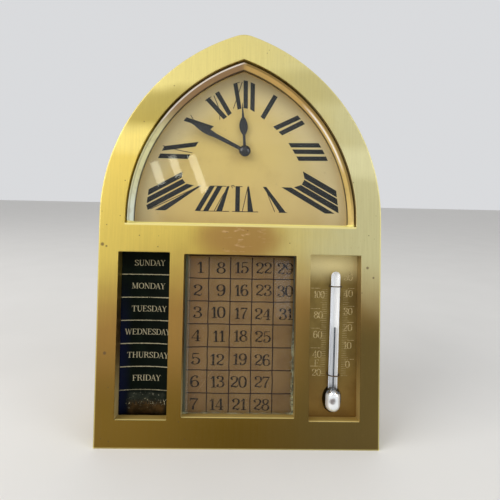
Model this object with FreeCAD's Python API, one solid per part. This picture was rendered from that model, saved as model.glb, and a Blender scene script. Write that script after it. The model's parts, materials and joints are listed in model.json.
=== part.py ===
import FreeCAD, Part
import math
import os

# Desk clock with a weekday band, a month table and a thermometer, all behind one thick brass plate.
# Everything is drawn in the plate's own upright frame, in millimetres: x to the right, y from the
# plate's front face into the case, z up from the plate's bottom edge. The finished pieces are
# then leant back onto the strut, so that the underside of the plate and the foot stand on z = 0.

# Stance
lean = 10.0
strut_spread = 31.0

# Front plate
plate_width = 140.0
plate_depth = 6.5
bottom_border = 13.8
side_border = 9.8
window_height = 82.2
side_window_width = 25.4
window_bar = 6.9
card_window_height = 80.05
card_window_lift = 1.4
cross_rail = 14.15
spring_rise = 3.25
arch_radius = 97.3
rim_width = 12.5
tip_round = 12.0
edge_break = 0.35
window_corner = 0.6

# Dial, its glass and the moulding round it
moulding_width = 3.5
moulding_top = 1.6
moulding_shoulder = 2.6
moulding_lip = 4.4
moulding_ridge = 0.8
sill_strip = 1.0
sill_strip_top = 3.8
glass_thick = 1.3
glass_lap = 1.5
spacer_depth = 5.5
spacer_wall = 2.0
dial_thick = 0.8
dial_foot_radius = 1.0
hands_rise = 39.65
hands_offset = 1.2

# Hands
minute_hand_length = 32.5
hour_hand_length = 26.0
hand_thick = 0.4
minute_hand_level = 3.3
hour_hand_level = 2.1
cap_radius = 3.0
cap_height = 1.4
minute_angle = -63.5
hour_angle = -4.0

# Month table
card_glass_sink = 4.0
card_glass_thick = 3.5
card_glass_bevel = 2.0
card_glass_bevel_drop = 0.9
card_glass_chip = 0.9
card_thick = 0.5
card_lap = 1.8
backing_thick = 1.0
backing_side = 4.0
backing_end = 4.2
card_screw_inset = 4.0
scale_screw_inset = 1.8

# Thermometer
scale_thick = 1.0
scale_side = 2.2
scale_end = 4.6
tube_radius = 2.45
tube_bore = 0.45
tube_tilt = 1.05
tube_shift = 0.03
tube_rise = 9.4
bulb_radius = 3.7
bulb_shoulder = 7.6
bulb_height = 11.4
bulb_wall = 0.5
stem_length = 59.2
mercury_length = 30.6
clip_wire = 0.3
clip_low = 6.9
clip_high = 51.3
cutout_room = 1.2

# Weekday band and its rollers
belt_thick = 0.3
belt_width = 26.6
belt_dish = 2.0
belt_gap = 0.5
roller_waist = 6.0
roller_low = 3.4
roller_high = 3.5
roller_shaft = 1.0
bracket_thick = 0.8
bracket_height = 10.0
bracket_space = 0.5
bracket_tail = 1.5
thumbwheel_radius = 6.5
thumbwheel_thick = 3.0
thumbwheel_knurls = 36

# Case
case_inset = 5.0
case_bottom_inset = 7.5
case_wall = 1.2
flange_width = 4.0
flange_thick = 1.2
cover_thick = 1.2
cover_hole = 25.5
cover_screw_inset = 3.4
cover_screw_drop = 45.0

# Movement plates
movement_radius = 29.0
movement_plate = 1.5
motion_room = 4.7
plate_gap = 13.0
pillar_radius = 1.6
pillar_circle = 23.0
pillar_thread = 3.5
pillar_angles = (75.0, 135.0, 240.0, 310.0)
movement_screw_circle = 27.3
movement_screw_angles = (90.0, 210.0, 330.0)
dial_foot_circle = 24.0
dial_foot_angles = (40.0, 140.0, 270.0)

# Wheels: tooth counts and modules
pressure_angle = 20.0
backlash = 0.05
barrel_teeth = 72
centre_leaves = 12
barrel_module = 0.35
centre_teeth = 80
third_leaves = 10
centre_module = 0.28
third_teeth = 75
fourth_leaves = 10
third_module = 0.25
fourth_teeth = 80
escape_leaves = 8
fourth_module = 0.22
escape_teeth = 15
escape_radius = 4.5
cannon_leaves = 12
minute_teeth = 36
cannon_module = 0.4
minute_leaves = 10
hour_teeth = 40
barrel_angle = 180.0
third_angle = 45.0
fourth_angle = -60.0
escape_angle = -100.0
balance_angle = 217.0
balance_distance = 14.6
fork_distance = 6.2
minute_wheel_angle = 120.0
wheel_thick = 0.8
arbor_radius = 0.5
centre_arbor_radius = 0.6
running_gap = 0.05
fit_gap = 0.02
balance_radius = 7.5
pallet_spread = 38.0
pallet_pin = 0.25
pallet_travel = 3.0
barrel_radius = 11.3
barrel_wall = 0.6
barrel_arbor_radius = 1.6
mainspring_inner = 3.9
mainspring_turns = 6
mainspring_thick = 0.3
ratchet_teeth = 24
ratchet_radius = 5.0
click_distance = 8.0

# Key, knob, regulator
key_square = 2.3
key_hub = 3.0
key_wing = 4.2
key_wing_thick = 1.6
key_hub_length = 8.0
key_socket = 6.2
key_eye = 1.5
key_eye_shift = 0.6
key_web = 1.6
knob_radius = 4.2
knob_height = 4.0
knob_knurls = 24
lever_length = 5.0

# Strut
hinge_drop = 45.0
hinge_plate_width = 26.0
hinge_plate_height = 13.0
hinge_screw_inset = 3.0
hinge_screw_end = 2.2
hinge_plate_thick = 1.0
hinge_pin = 1.0
hinge_knuckle = 1.9
hinge_clear = 0.4
strut_thick = 1.6
strut_top_width = 11.0
strut_foot_width = 34.0
strut_slot = 2.6
strut_slot_end = 22.0
strut_shoulder = 6.0
heel_gap = 0.05

# Screws
small_screw = 0.7
small_head = 1.1
small_head_height = 0.6
big_screw = 0.8
big_head = 1.4
big_head_height = 0.8
screw_gap = 0.05
slot_width = 0.35

# Places worked out from the sizes above
half_width = plate_width / 2
arch_sill = bottom_border + window_height + cross_rail
spring_line = arch_sill + spring_rise
arc_centre = arch_radius - half_width
window_top = bottom_border + window_height
side_outer = half_width - side_border
side_inner = side_outer - side_window_width
side_middle = (side_outer + side_inner) / 2
card_half = side_inner - window_bar
card_bottom = bottom_border + card_window_lift
card_top = card_bottom + card_window_height
glass_front = plate_depth - glass_thick
glass_inset = rim_width - glass_lap
dial_front = plate_depth + spacer_depth
dial_back = dial_front + dial_thick
front_plate_front = dial_back + motion_room
front_plate_back = front_plate_front + movement_plate
back_plate_front = front_plate_back + plate_gap
case_back = back_plate_front + movement_plate
cover_back = case_back + cover_thick
hands_x = hands_offset
hands_z = arch_sill + hands_rise
hinge_z = hands_z - hinge_drop
hinge_plate_back = cover_back + hinge_plate_thick
hinge_y = hinge_plate_back + hinge_knuckle + hinge_clear
glass_fit = 0.15

V = FreeCAD.Vector


def spot(x, z, y=0.0):
    """A point given as it is seen from the front, with its depth last."""
    return V(x, y, z)


def polar(centre, radius, angle):
    """A point (x, z) at an angle in degrees, counted from the right, upwards."""
    a = math.radians(angle)
    return (centre[0] + radius * math.cos(a), centre[1] + radius * math.sin(a))


def line(a, b):
    return Part.LineSegment(spot(*a), spot(*b)).toShape()


def arc(a, m, b):
    return Part.Arc(spot(*a), spot(*m), spot(*b)).toShape()


def slab(wires, front, back):
    """Extrudes flat wires drawn at depth 0 into a plate between two depths."""
    face = Part.makeFace(wires, "Part::FaceMakerBullseye")
    solid = face.extrude(V(0, back - front, 0))
    solid.translate(V(0, front, 0))
    return solid


def ring_wire(centre, radius):
    circle = Part.Circle(spot(*centre), V(0, 1, 0), radius)
    return Part.Wire([circle.toShape()])


def disc(centre, radius, front, back, bore=0.0):
    body = Part.makeCylinder(radius, back - front, spot(centre[0], centre[1], front), V(0, 1, 0))
    if bore > 0:
        hole = Part.makeCylinder(bore, back - front + 2, spot(centre[0], centre[1], front - 1), V(0, 1, 0))
        body = body.cut(hole)
    return body


def block(left, right, low, high, front, back):
    return Part.makeBox(right - left, back - front, high - low, V(left, front, low))


def box_wire(left, right, low, high):
    corners = [(left, low), (right, low), (right, high), (left, high)]
    edges = [line(corners[i], corners[(i + 1) % 4]) for i in range(4)]
    return Part.Wire(edges)


def arch_wire(inset, sill):
    """The pointed outline, drawn in from the plate's edge by the inset, down to the sill."""
    half = half_width - inset
    radius = arch_radius - inset
    apex = (0.0, spring_line + math.sqrt(radius ** 2 - arc_centre ** 2))
    turn = math.degrees(math.atan2(apex[1] - spring_line, arc_centre)) / 2
    right_mid = polar((-arc_centre, spring_line), radius, turn)
    left_mid = (-right_mid[0], right_mid[1])
    edges = [
        line((-half, sill), (half, sill)),
        line((half, sill), (half, spring_line)),
        arc((half, spring_line), right_mid, apex),
        arc(apex, left_mid, (-half, spring_line)),
        line((-half, spring_line), (-half, sill)),
    ]
    return Part.Wire(edges)


def arch(inset, sill, front, back):
    return slab([arch_wire(inset, sill)], front, back)


def upright_edges(shape, x, z, reach):
    """Edges that run straight from front to back at a place seen from the front."""
    found = []
    for edge in shape.Edges:
        ends = [v.Point for v in edge.Vertexes]
        if len(ends) == 2 and abs(ends[0].x - ends[1].x) < 1e-6 and abs(ends[0].z - ends[1].z) < 1e-6:
            if abs(ends[0].x - x) < reach and abs(ends[0].z - z) < reach:
                found.append(edge)
    return found


def screw(centre, seat, direction, radius, head, head_height, length):
    """A slotted screw whose head lies on the seat depth, and whose shank points along direction."""
    sign = 1 if direction > 0 else -1
    shank = Part.makeCylinder(radius, length, spot(centre[0], centre[1], seat), V(0, sign, 0))
    cap = Part.makeCylinder(head, head_height, spot(centre[0], centre[1], seat), V(0, -sign, 0))
    outer = seat - sign * head_height
    groove_front = min(outer, outer + sign * head_height / 2)
    groove_back = max(outer, outer + sign * head_height / 2)
    x, z = centre
    half_slot = slot_width / 2
    groove = block(x - head - 1, x + head + 1, z - half_slot, z + half_slot, groove_front, groove_back)
    return shank.fuse(cap).cut(groove).removeSplitter()


def drill(centre, radius, front, back):
    return Part.makeCylinder(radius, back - front, spot(centre[0], centre[1], front), V(0, 1, 0))


def cut_all(shape, tools):
    return shape.cut(Part.makeCompound(tools)) if tools else shape


def fuse_all(shapes):
    whole = shapes[0]
    for shape in shapes[1:]:
        whole = whole.fuse(shape)
    return whole.removeSplitter()


def involute_turn(base, radius):
    """How far an involute has turned, in radians, when it reaches a radius."""
    if radius <= base:
        return 0.0
    angle = math.acos(base / radius)
    return math.tan(angle) - angle


def gear_wire(centre, teeth, module, addendum, dedendum, phase):
    """Outline of a spur wheel. A tooth's middle points along the phase angle, in degrees."""
    pitch = teeth * module / 2
    base = pitch * math.cos(math.radians(pressure_angle))
    tip = pitch + addendum * module
    root = pitch - dedendum * module
    half_at_base = math.pi / (2 * teeth) - backlash / (2 * pitch) + involute_turn(base, pitch)
    start = max(root, base)
    middle = (start + tip) / 2
    half_root = math.degrees(half_at_base - involute_turn(base, start))
    half_middle = math.degrees(half_at_base - involute_turn(base, middle))
    half_tip = math.degrees(half_at_base - involute_turn(base, tip))
    step = 360.0 / teeth
    edges = []
    for i in range(teeth):
        at = phase + i * step
        foot_up = polar(centre, start, at - half_root)
        foot_down = polar(centre, start, at + half_root)
        tip_up = polar(centre, tip, at - half_tip)
        tip_down = polar(centre, tip, at + half_tip)
        if root < start - 1e-6:
            edges.append(line(polar(centre, root, at - half_root), foot_up))
        edges.append(arc(foot_up, polar(centre, middle, at - half_middle), tip_up))
        edges.append(line(tip_up, tip_down))
        edges.append(arc(tip_down, polar(centre, middle, at + half_middle), foot_down))
        if root < start - 1e-6:
            edges.append(line(foot_down, polar(centre, root, at + half_root)))
        gap_start = polar(centre, root, at + half_root)
        gap_end = polar(centre, root, at + step - half_root)
        edges.append(arc(gap_start, polar(centre, root, at + step / 2), gap_end))
    return Part.Wire(edges)


def spoke_windows(centre, inner, outer, count, spoke, turn=0.0):
    """Outlines of the openings between the spokes of a wheel."""
    wires = []
    step = 360.0 / count
    for i in range(count):
        near = math.degrees(spoke / 2 / inner)
        far = math.degrees(spoke / 2 / outer)
        low = turn + i * step
        high = low + step
        a = polar(centre, inner, low + near)
        b = polar(centre, outer, low + far)
        c = polar(centre, outer, high - far)
        d = polar(centre, inner, high - near)
        mid = (low + high) / 2
        edges = [
            line(a, b),
            arc(b, polar(centre, outer, mid), c),
            line(c, d),
            arc(d, polar(centre, inner, mid), a),
        ]
        wires.append(Part.Wire(edges))
    return wires


wheel_addendum = 0.6
wheel_dedendum = 1.15
leaf_addendum = 0.9
leaf_dedendum = 0.85
escape_leaf_addendum = 0.8
fourth_addendum = 0.45


def wheel(centre, teeth, module, phase, front, bore, addendum=wheel_addendum, spokes=5):
    """A crossed-out brass wheel with its hub, one wheel thickness deep."""
    pitch = teeth * module / 2
    rim = pitch - wheel_dedendum * module - 0.7
    hub = bore + 1.1
    wires = [gear_wire(centre, teeth, module, addendum, wheel_dedendum, phase), ring_wire(centre, bore)]
    wires += spoke_windows(centre, hub, rim, spokes, 0.8, phase)
    return slab(wires, front, front + wheel_thick)


def pinion(centre, leaves, module, phase, front, back, bore, addendum=leaf_addendum):
    wires = [gear_wire(centre, leaves, module, addendum, leaf_dedendum, phase)]
    if bore > 0:
        wires.append(ring_wire(centre, bore))
    return slab(wires, front, back)


def gap_phase(angle, teeth):
    """The phase that puts a gap, not a tooth, towards an angle."""
    return angle + 180.0 / teeth


# Centres of the movement's wheels
hands = (hands_x, hands_z)
barrel_at = polar(hands, (barrel_teeth + centre_leaves) / 2 * barrel_module, barrel_angle)
third_at = polar(hands, (centre_teeth + third_leaves) / 2 * centre_module, third_angle)
fourth_at = polar(third_at, (third_teeth + fourth_leaves) / 2 * third_module, fourth_angle)
escape_at = polar(fourth_at, (fourth_teeth + escape_leaves) / 2 * fourth_module, escape_angle)
balance_at = polar(escape_at, balance_distance, balance_angle)
fork_at = polar(escape_at, fork_distance, balance_angle)
motion_distance = (cannon_leaves + minute_teeth) / 2 * cannon_module
minute_module = 2 * motion_distance / (minute_leaves + hour_teeth)
minute_at = polar(hands, motion_distance, minute_wheel_angle)

# Depths of the movement's wheels, counted from the inside of the front plate
centre_level = front_plate_back + 1.2
third_level = front_plate_back + 4.5
fourth_level = front_plate_back + 7.5
escape_level = front_plate_back + 10.0
balance_level = front_plate_back + 3.3
spring_level = front_plate_back + 6.2
barrel_front = front_plate_back + 3.5
barrel_back = front_plate_back + 11.5
barrel_rim = front_plate_back + 9.6
ratchet_level = front_plate_back + 11.8

# Depths of the motion work, counted from the front of the front plate
minute_wheel_level = front_plate_front - 2.1
hour_wheel_level = front_plate_front - 4.2
cannon_pipe = 1.0
hour_pipe_bore = cannon_pipe + running_gap
hour_pipe = 1.7
minute_hand_back = dial_front - minute_hand_level + hand_thick
hour_hand_back = dial_front - hour_hand_level + hand_thick
cap_back = minute_hand_back - hand_thick

# Places of screws, seen from the front
backing_left = card_half + card_lap
backing_low = card_bottom - card_lap
backing_high = card_top + card_lap
card_screw_x = card_half - card_screw_inset
card_screw_spots = [
    (sx * card_screw_x, z)
    for sx in (-1, 1)
    for z in (backing_low - backing_end / 2, backing_high + backing_end / 2)
]
scale_screw_x = side_window_width / 2 - scale_screw_inset
scale_screw_spots = [
    (side_middle + sx * scale_screw_x, z)
    for sx in (-1, 1)
    for z in (bottom_border - scale_end / 2, window_top + scale_end / 2)
]
cover_screw_inset_total = case_inset + cover_screw_inset
cover_side = half_width - cover_screw_inset_total
cover_screw_spots = [
    (sx * cover_side, z)
    for sx in (-1, 1)
    for z in (case_bottom_inset + cover_screw_inset, spring_line - cover_screw_drop, spring_line)
]
cover_screw_spots += [
    polar((-arc_centre * sx, spring_line), arch_radius - cover_screw_inset_total, 90 - sx * 45)
    for sx in (-1, 1)
]
movement_screw_spots = [polar(hands, movement_screw_circle, a) for a in movement_screw_angles]
pillar_spots = [polar(hands, pillar_circle, a) for a in pillar_angles]
dial_foot_spots = [polar(hands, dial_foot_circle, a) for a in dial_foot_angles]
hinge_screw_x = hinge_plate_width / 2 - hinge_screw_inset
hinge_screw_rise = hinge_plate_height / 2 - hinge_screw_end
hinge_screw_spots = [
    (sx * hinge_screw_x, hinge_z + sz * hinge_screw_rise)
    for sx in (-1, 1)
    for sz in (-1, 1)
]


def front_frame():
    """Thick cast plate with one arch opening and three windows."""
    body = arch(0.0, 0.0, 0.0, plate_depth)
    apex = spring_line + math.sqrt(arch_radius ** 2 - arc_centre ** 2)
    body = body.makeFillet(tip_round, upright_edges(body, 0.0, apex, 0.5))
    front_edges = [e for e in body.Edges if all(abs(v.Point.y) < 1e-6 for v in e.Vertexes)]
    body = body.makeChamfer(edge_break, front_edges)
    cuts = [arch(rim_width, arch_sill, -1, plate_depth + 1)]
    cuts.append(arch(glass_inset, arch_sill - glass_lap, glass_front, plate_depth + 1))
    windows = [
        (-side_outer, -side_inner, bottom_border, window_top),
        (side_inner, side_outer, bottom_border, window_top),
        (-card_half, card_half, card_bottom, card_top),
    ]
    for left, right, low, high in windows:
        hole = block(left, right, low, high, -1, plate_depth + 1)
        corners = [e for e in hole.Edges if abs(e.Vertexes[0].Point.y - e.Vertexes[1].Point.y) > 1]
        cuts.append(hole.makeFillet(window_corner, corners))
    blind = plate_depth - 2.5
    for centre in card_screw_spots + scale_screw_spots:
        cuts.append(drill(centre, small_screw + screw_gap, blind, plate_depth + 1))
    return cut_all(body, cuts)


def dial_bezel():
    """Ridged moulding that follows both arcs, mitred at the point, with a strip along the sill."""
    outer = arch_radius - rim_width
    inner = outer - moulding_width
    ridge = outer - moulding_ridge
    points = [
        V(outer, glass_front, 0),
        V(outer, moulding_shoulder, 0),
        V(ridge, moulding_top, 0),
        V(ridge - 0.6, moulding_top + 0.15, 0),
        V(inner, moulding_lip, 0),
        V(inner, glass_front, 0),
    ]
    profile = Part.Face(Part.makePolygon(points + [points[0]]))
    profile.translate(V(-arc_centre, 0, spring_line))
    axis_point = V(-arc_centre, 0, spring_line)
    sweep = profile.revolve(axis_point, V(0, 1, 0), 360)
    keep = block(0, half_width, arch_sill, arch_sill + 2 * arch_radius, -1, plate_depth)
    right = sweep.common(keep)
    left = right.mirror(V(0, 0, 0), V(1, 0, 0))
    reach = outer - arc_centre - moulding_width / 2
    strip = block(-reach, reach, arch_sill, arch_sill + sill_strip, sill_strip_top, glass_front)
    return fuse_all([right, left, strip])


def dial_glass():
    inset = glass_inset + glass_fit
    return arch(inset, arch_sill - glass_lap + glass_fit, glass_front, plate_depth)


def dial_spacer():
    """Brass ring that keeps the dial away from the glass."""
    inset = glass_inset + glass_fit
    sill = arch_sill - glass_lap + glass_fit
    ring = arch(inset, sill, plate_depth, dial_front)
    hole = arch(inset + spacer_wall, sill + spacer_wall, plate_depth - 1, dial_front + 1)
    return ring.cut(hole)


def dial_plate():
    inset = glass_inset + glass_fit
    body = arch(inset, arch_sill - glass_lap + glass_fit, dial_front, dial_back)
    body = body.cut(drill(hands, hour_pipe + 0.3, dial_front - 1, dial_back + 1))
    feet = [disc(p, dial_foot_radius, dial_back, front_plate_front) for p in dial_foot_spots]
    return fuse_all([body] + feet)


def hand(length, front, collar, bore, neck, waist, belly, belly_at, angle):
    """A flat leaf hand with a round collar: straight stem, swelling leaf, long fine point."""
    waist_at = (belly_at - 0.16) * length
    taper_at = (belly_at + 0.2) * length
    leaf = Part.BSplineCurve()
    leaf.interpolate([V(waist, 0, waist_at), V(belly, 0, belly_at * length), V(belly * 0.3, 0, taper_at)])
    right = Part.Wire([
        Part.makeLine(V(0, 0, 0), V(neck, 0, 0)),
        Part.makeLine(V(neck, 0, 0), V(waist, 0, waist_at)),
        leaf.toShape(),
        Part.makeLine(V(belly * 0.3, 0, taper_at), V(0.08, 0, length)),
        Part.makeLine(V(0.08, 0, length), V(0, 0, length)),
        Part.makeLine(V(0, 0, length), V(0, 0, 0)),
    ])
    half = Part.Face(right).extrude(V(0, hand_thick, 0))
    blade = half.fuse(half.mirror(V(0, 0, 0), V(1, 0, 0)))
    blade.translate(V(0, front, 0))
    ring = disc((0, 0), collar, front, front + hand_thick)
    whole = blade.fuse(ring).cut(drill((0, 0), bore, front - 1, front + hand_thick + 1)).removeSplitter()
    whole.rotate(V(0, 0, 0), V(0, 1, 0), angle)
    whole.translate(V(hands_x, 0, hands_z))
    return whole


def minute_hand():
    return hand(minute_hand_length, minute_hand_back - hand_thick, 2.0, cannon_pipe + fit_gap,
                0.85, 1.1, 1.6, 0.7, minute_angle)


def hour_hand():
    return hand(hour_hand_length, hour_hand_back - hand_thick, 2.4, hour_pipe + fit_gap,
                0.85, 0.65, 2.2, 0.5, hour_angle)


def hand_cap():
    """Black domed boss that hides the end of the centre arbor."""
    drop = cap_radius * 0.45
    sphere_radius = (cap_radius ** 2 + cap_height ** 2) / (2 * cap_height)
    ball = Part.makeSphere(sphere_radius, spot(hands_x, hands_z, cap_back - cap_height + sphere_radius))
    dome = ball.common(disc(hands, cap_radius, cap_back - cap_height - 1, cap_back))
    return dome.cut(drill(hands, centre_arbor_radius + fit_gap, cap_back - drop * 0.6, cap_back + 1))


def calendar_glass():
    """Thick plate glass with a ground bevel and small chips along its right edge."""
    half = card_half - glass_fit
    low = card_bottom + glass_fit
    high = card_top - glass_fit
    front = card_glass_sink
    back = front + card_glass_thick
    body = block(-half, half, low, high, front, back)
    face_wire = box_wire(-half + card_glass_bevel, half - card_glass_bevel,
                         low + card_glass_bevel, high - card_glass_bevel)
    edge_wire = box_wire(-half, half, low, high)
    edge_wire.translate(V(0, front + card_glass_bevel_drop, 0))
    face_wire.translate(V(0, front, 0))
    crown = Part.makeLoft([face_wire, edge_wire], True)
    body = body.common(block(-half, half, low, high, front + card_glass_bevel_drop, back))
    body = body.fuse(crown).removeSplitter()
    bites = []
    chips = 9
    for i in range(chips):
        size = card_glass_chip * (0.55 + 0.45 * math.sin(2.1 * i + 0.6) ** 2)
        height = low + (high - low) * (0.12 + 0.8 * (i + 0.35 * math.sin(3.7 * i)) / chips)
        bites.append(Part.makeSphere(size, V(half + 0.25 * size, front + card_glass_bevel_drop, height)))
    return cut_all(body, bites)


def calendar_card():
    front = card_glass_sink + card_glass_thick
    side = card_half + card_lap - glass_fit
    low = backing_low + glass_fit
    return block(-side, side, low, backing_high - glass_fit, front, front + card_thick)


def calendar_backing():
    """Brass tray that presses the card and its glass into the window from behind."""
    front = plate_depth
    back = card_glass_sink + card_glass_thick + card_thick
    side = backing_left + backing_side - card_lap
    low = backing_low - backing_end
    high = backing_high + backing_end
    body = block(-side, side, low, high, front, back + backing_thick)
    body = body.cut(block(-backing_left, backing_left, backing_low, backing_high, front - 1, back))
    holes = [drill(c, small_screw + screw_gap, front - 1, back + backing_thick + 1) for c in card_screw_spots]
    return cut_all(body, holes)


def card_screws():
    seat = card_glass_sink + card_glass_thick + card_thick + backing_thick
    length = seat - plate_depth + 2.2
    parts = [screw(c, seat, -1, small_screw, small_head, small_head_height, length) for c in card_screw_spots]
    return Part.makeCompound(parts)


# The thermometer's tube stands in the right window, in front of its scale
tube_y = plate_depth - tube_radius - 0.05
tube_foot = V(side_middle + tube_shift, tube_y, bottom_border + tube_rise - bulb_height / 2)


def along_tube(shape):
    """Tilts a shape drawn upright on the origin to the tube's own line."""
    shape.rotate(V(0, 0, 0), V(0, 1, 0), tube_tilt)
    shape.translate(tube_foot)
    return shape


def quarter(radius, rise):
    """The round bottom of a turned shape: from the axis out to its side."""
    low = rise - radius
    chord = radius * math.sqrt(0.5)
    return Part.Arc(V(0, 0, low), V(chord, 0, rise - chord), V(radius, 0, rise)).toShape()


def tube_form(top):
    """Outer form of the glass: a blown bulb, a straight stem and a round end."""
    side = top - tube_radius
    bulge = tube_radius + (bulb_radius - tube_radius) * 0.62
    edges = [
        quarter(bulb_radius, bulb_radius),
        Part.makeLine(V(bulb_radius, 0, bulb_radius), V(bulb_radius, 0, bulb_shoulder)),
        Part.Arc(V(bulb_radius, 0, bulb_shoulder), V(bulge, 0, (bulb_shoulder + bulb_height) / 2 + 0.3),
                 V(tube_radius, 0, bulb_height)).toShape(),
        Part.makeLine(V(tube_radius, 0, bulb_height), V(tube_radius, 0, side)),
        Part.makeLine(V(tube_radius, 0, side), V(0, 0, side)),
        Part.makeLine(V(0, 0, side), V(0, 0, 0)),
    ]
    body = Part.Face(Part.Wire(edges)).revolve(V(0, 0, 0), V(0, 0, 1), 360)
    return body.fuse(Part.makeSphere(tube_radius, V(0, 0, side)))


def bulb_form(wall, neck, top):
    """The space inside the bulb and the bore above it."""
    bulb = bulb_radius - wall
    edges = [
        quarter(bulb, bulb_radius),
        Part.makeLine(V(bulb, 0, bulb_radius), V(bulb, 0, bulb_shoulder - wall)),
        Part.Arc(V(bulb, 0, bulb_shoulder - wall), V(bulb * 0.72, 0, (bulb_shoulder + bulb_height) / 2),
                 V(neck, 0, bulb_height)).toShape(),
        Part.makeLine(V(neck, 0, bulb_height), V(neck, 0, top)),
        Part.makeLine(V(neck, 0, top), V(0, 0, top)),
        Part.makeLine(V(0, 0, top), V(0, 0, bulb_radius - bulb)),
    ]
    return Part.Face(Part.Wire(edges)).revolve(V(0, 0, 0), V(0, 0, 1), 360)


def thermometer_tube():
    """Glass tube with a fine blind bore, and the blown bulb that is melted onto its foot."""
    outer = tube_form(bulb_height + stem_length)
    bore = bulb_form(bulb_wall, tube_bore, bulb_height + stem_length - 4.0)
    glass = outer.cut(bore)
    wide = 2 * bulb_radius
    above = Part.makeBox(2 * wide, 2 * wide, stem_length + wide, V(-wide, -wide, bulb_height))
    seam = Part.makeBox(2 * wide, 2 * wide, fit_gap, V(-wide, -wide, bulb_height - fit_gap))
    return along_tube(Part.makeCompound([glass.common(above), glass.cut(above).cut(seam)]))


def thermometer_mercury():
    return along_tube(bulb_form(bulb_wall + fit_gap, tube_bore - fit_gap, bulb_height + mercury_length))


def tube_point(height):
    """The middle of the tube at a height above its foot."""
    a = math.radians(tube_tilt)
    return V(tube_foot.x + height * math.sin(a), tube_foot.y, tube_foot.z + height * math.cos(a))


clip_points = [tube_point(bulb_height + h) for h in (clip_low, clip_high)]
clip_reach = tube_radius + clip_wire + fit_gap


def thermometer_scale():
    """Engraved brass plate with an oval cut-out for the bulb and holes for the wire clips."""
    body = block(side_inner - scale_side, side_outer + scale_side, bottom_border - scale_end,
                 window_top + scale_end, plate_depth, plate_depth + scale_thick)
    middle = tube_point(bulb_height * 0.48)
    oval = Part.Ellipse(V(middle.x, 0, middle.z), bulb_height / 2 + cutout_room, bulb_radius + cutout_room)
    oval.rotate(FreeCAD.Placement(V(0, 0, 0), FreeCAD.Rotation(V(1, 0, 0), 0)))
    wire = Part.Wire([oval.toShape()])
    wire.translate(V(-middle.x, 0, -middle.z))
    wire.rotate(V(0, 0, 0), V(1, 0, 0), 90)
    wire.rotate(V(0, 0, 0), V(0, 1, 0), 90)
    wire.translate(V(middle.x, 0, middle.z))
    cuts = [slab([wire], plate_depth - 1, plate_depth + scale_thick + 1)]
    for centre in scale_screw_spots:
        cuts.append(drill(centre, small_screw + screw_gap, plate_depth - 1, plate_depth + scale_thick + 1))
    for p in clip_points:
        for sx in (-1, 1):
            at = (p.x + sx * clip_reach, p.z)
            cuts.append(drill(at, clip_wire + screw_gap, plate_depth - 1, plate_depth + scale_thick + 1))
    return cut_all(body, cuts)


def thermometer_clips():
    """Two wire hoops over the tube, with their ends through the scale."""
    parts = []
    for p in clip_points:
        circle = Part.Wire([Part.Circle(V(clip_reach, 0, 0), V(0, 1, 0), clip_wire).toShape()])
        hoop = Part.Face(circle).revolve(V(0, 0, 0), V(0, 0, 1), -180)
        hoop.translate(p)
        legs = []
        for sx in (-1, 1):
            at = (p.x + sx * clip_reach, p.z)
            legs.append(disc(at, clip_wire, p.y, plate_depth + scale_thick + 0.6))
        parts.append(fuse_all([hoop] + legs))
    return Part.makeCompound(parts)


def thermometer_screws():
    seat = plate_depth + scale_thick
    parts = [screw(c, seat, -1, small_screw, small_head, small_head_height, scale_thick + 2.2)
             for c in scale_screw_spots]
    return Part.makeCompound(parts)


# The weekday band runs over two waisted rollers behind the left window
belt_half = belt_width / 2
belt_middle = -side_middle
roller_y = plate_depth + belt_gap + belt_dish + roller_waist
roller_spots = (bottom_border + roller_low, window_top + roller_high)


def waist_edge(radius, y_sign, z):
    """The curve across the band: nearer the middle at its centre, further out at its edges."""
    at_edge = roller_y + y_sign * (radius + belt_dish)
    at_middle = roller_y + y_sign * radius
    left = V(belt_middle - belt_half, at_edge, z)
    right = V(belt_middle + belt_half, at_edge, z)
    return left, V(belt_middle, at_middle, z), right


def belt_section(y_sign, z):
    a, m, b = waist_edge(roller_waist, y_sign, z)
    c, n, d = waist_edge(roller_waist - belt_thick, y_sign, z)
    arcs = [Part.Arc(a, m, b).toShape(), Part.Arc(d, n, c).toShape()]
    edges = [arcs[0], Part.makeLine(b, d), arcs[1], Part.makeLine(c, a)]
    return Part.Face(Part.Wire(edges))


def weekday_band():
    """Endless printed cloth band, dished across its width by the waisted rollers."""
    low, high = roller_spots
    runs = [belt_section(s, low).extrude(V(0, 0, high - low)) for s in (-1, 1)]
    bottom = belt_section(-1, low).revolve(V(belt_middle, roller_y, low), V(1, 0, 0), 180)
    top = belt_section(-1, high).revolve(V(belt_middle, roller_y, high), V(1, 0, 0), -180)
    return fuse_all(runs + [bottom, top])


bracket_left = belt_middle - belt_half - bracket_space
bracket_right = belt_middle + belt_half + bracket_space


def roller(z, left_end, right_end):
    """A waisted wooden roller on its steel shaft."""
    core = roller_waist - belt_thick - running_gap
    side = core + belt_dish
    x0 = belt_middle - belt_half
    x1 = belt_middle + belt_half
    edges = [
        Part.makeLine(V(x0, 0, 0), V(x0, side, 0)),
        Part.Arc(V(x0, side, 0), V(belt_middle, core, 0), V(x1, side, 0)).toShape(),
        Part.makeLine(V(x1, side, 0), V(x1, 0, 0)),
        Part.makeLine(V(x1, 0, 0), V(x0, 0, 0)),
    ]
    drum = Part.Face(Part.Wire(edges)).revolve(V(0, 0, 0), V(1, 0, 0), 360)
    shaft = Part.makeCylinder(roller_shaft, right_end - left_end, V(left_end, 0, 0), V(1, 0, 0))
    whole = drum.fuse(shaft).removeSplitter()
    whole.translate(V(0, roller_y, z))
    return whole


case_side = half_width - case_inset
thumbwheel_left = -case_side - thumbwheel_thick - 0.5


def upper_roller():
    return roller(roller_spots[1], bracket_left - bracket_thick, bracket_right + bracket_thick)


def lower_roller():
    return roller(roller_spots[0], thumbwheel_left, bracket_right + bracket_thick)


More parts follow.
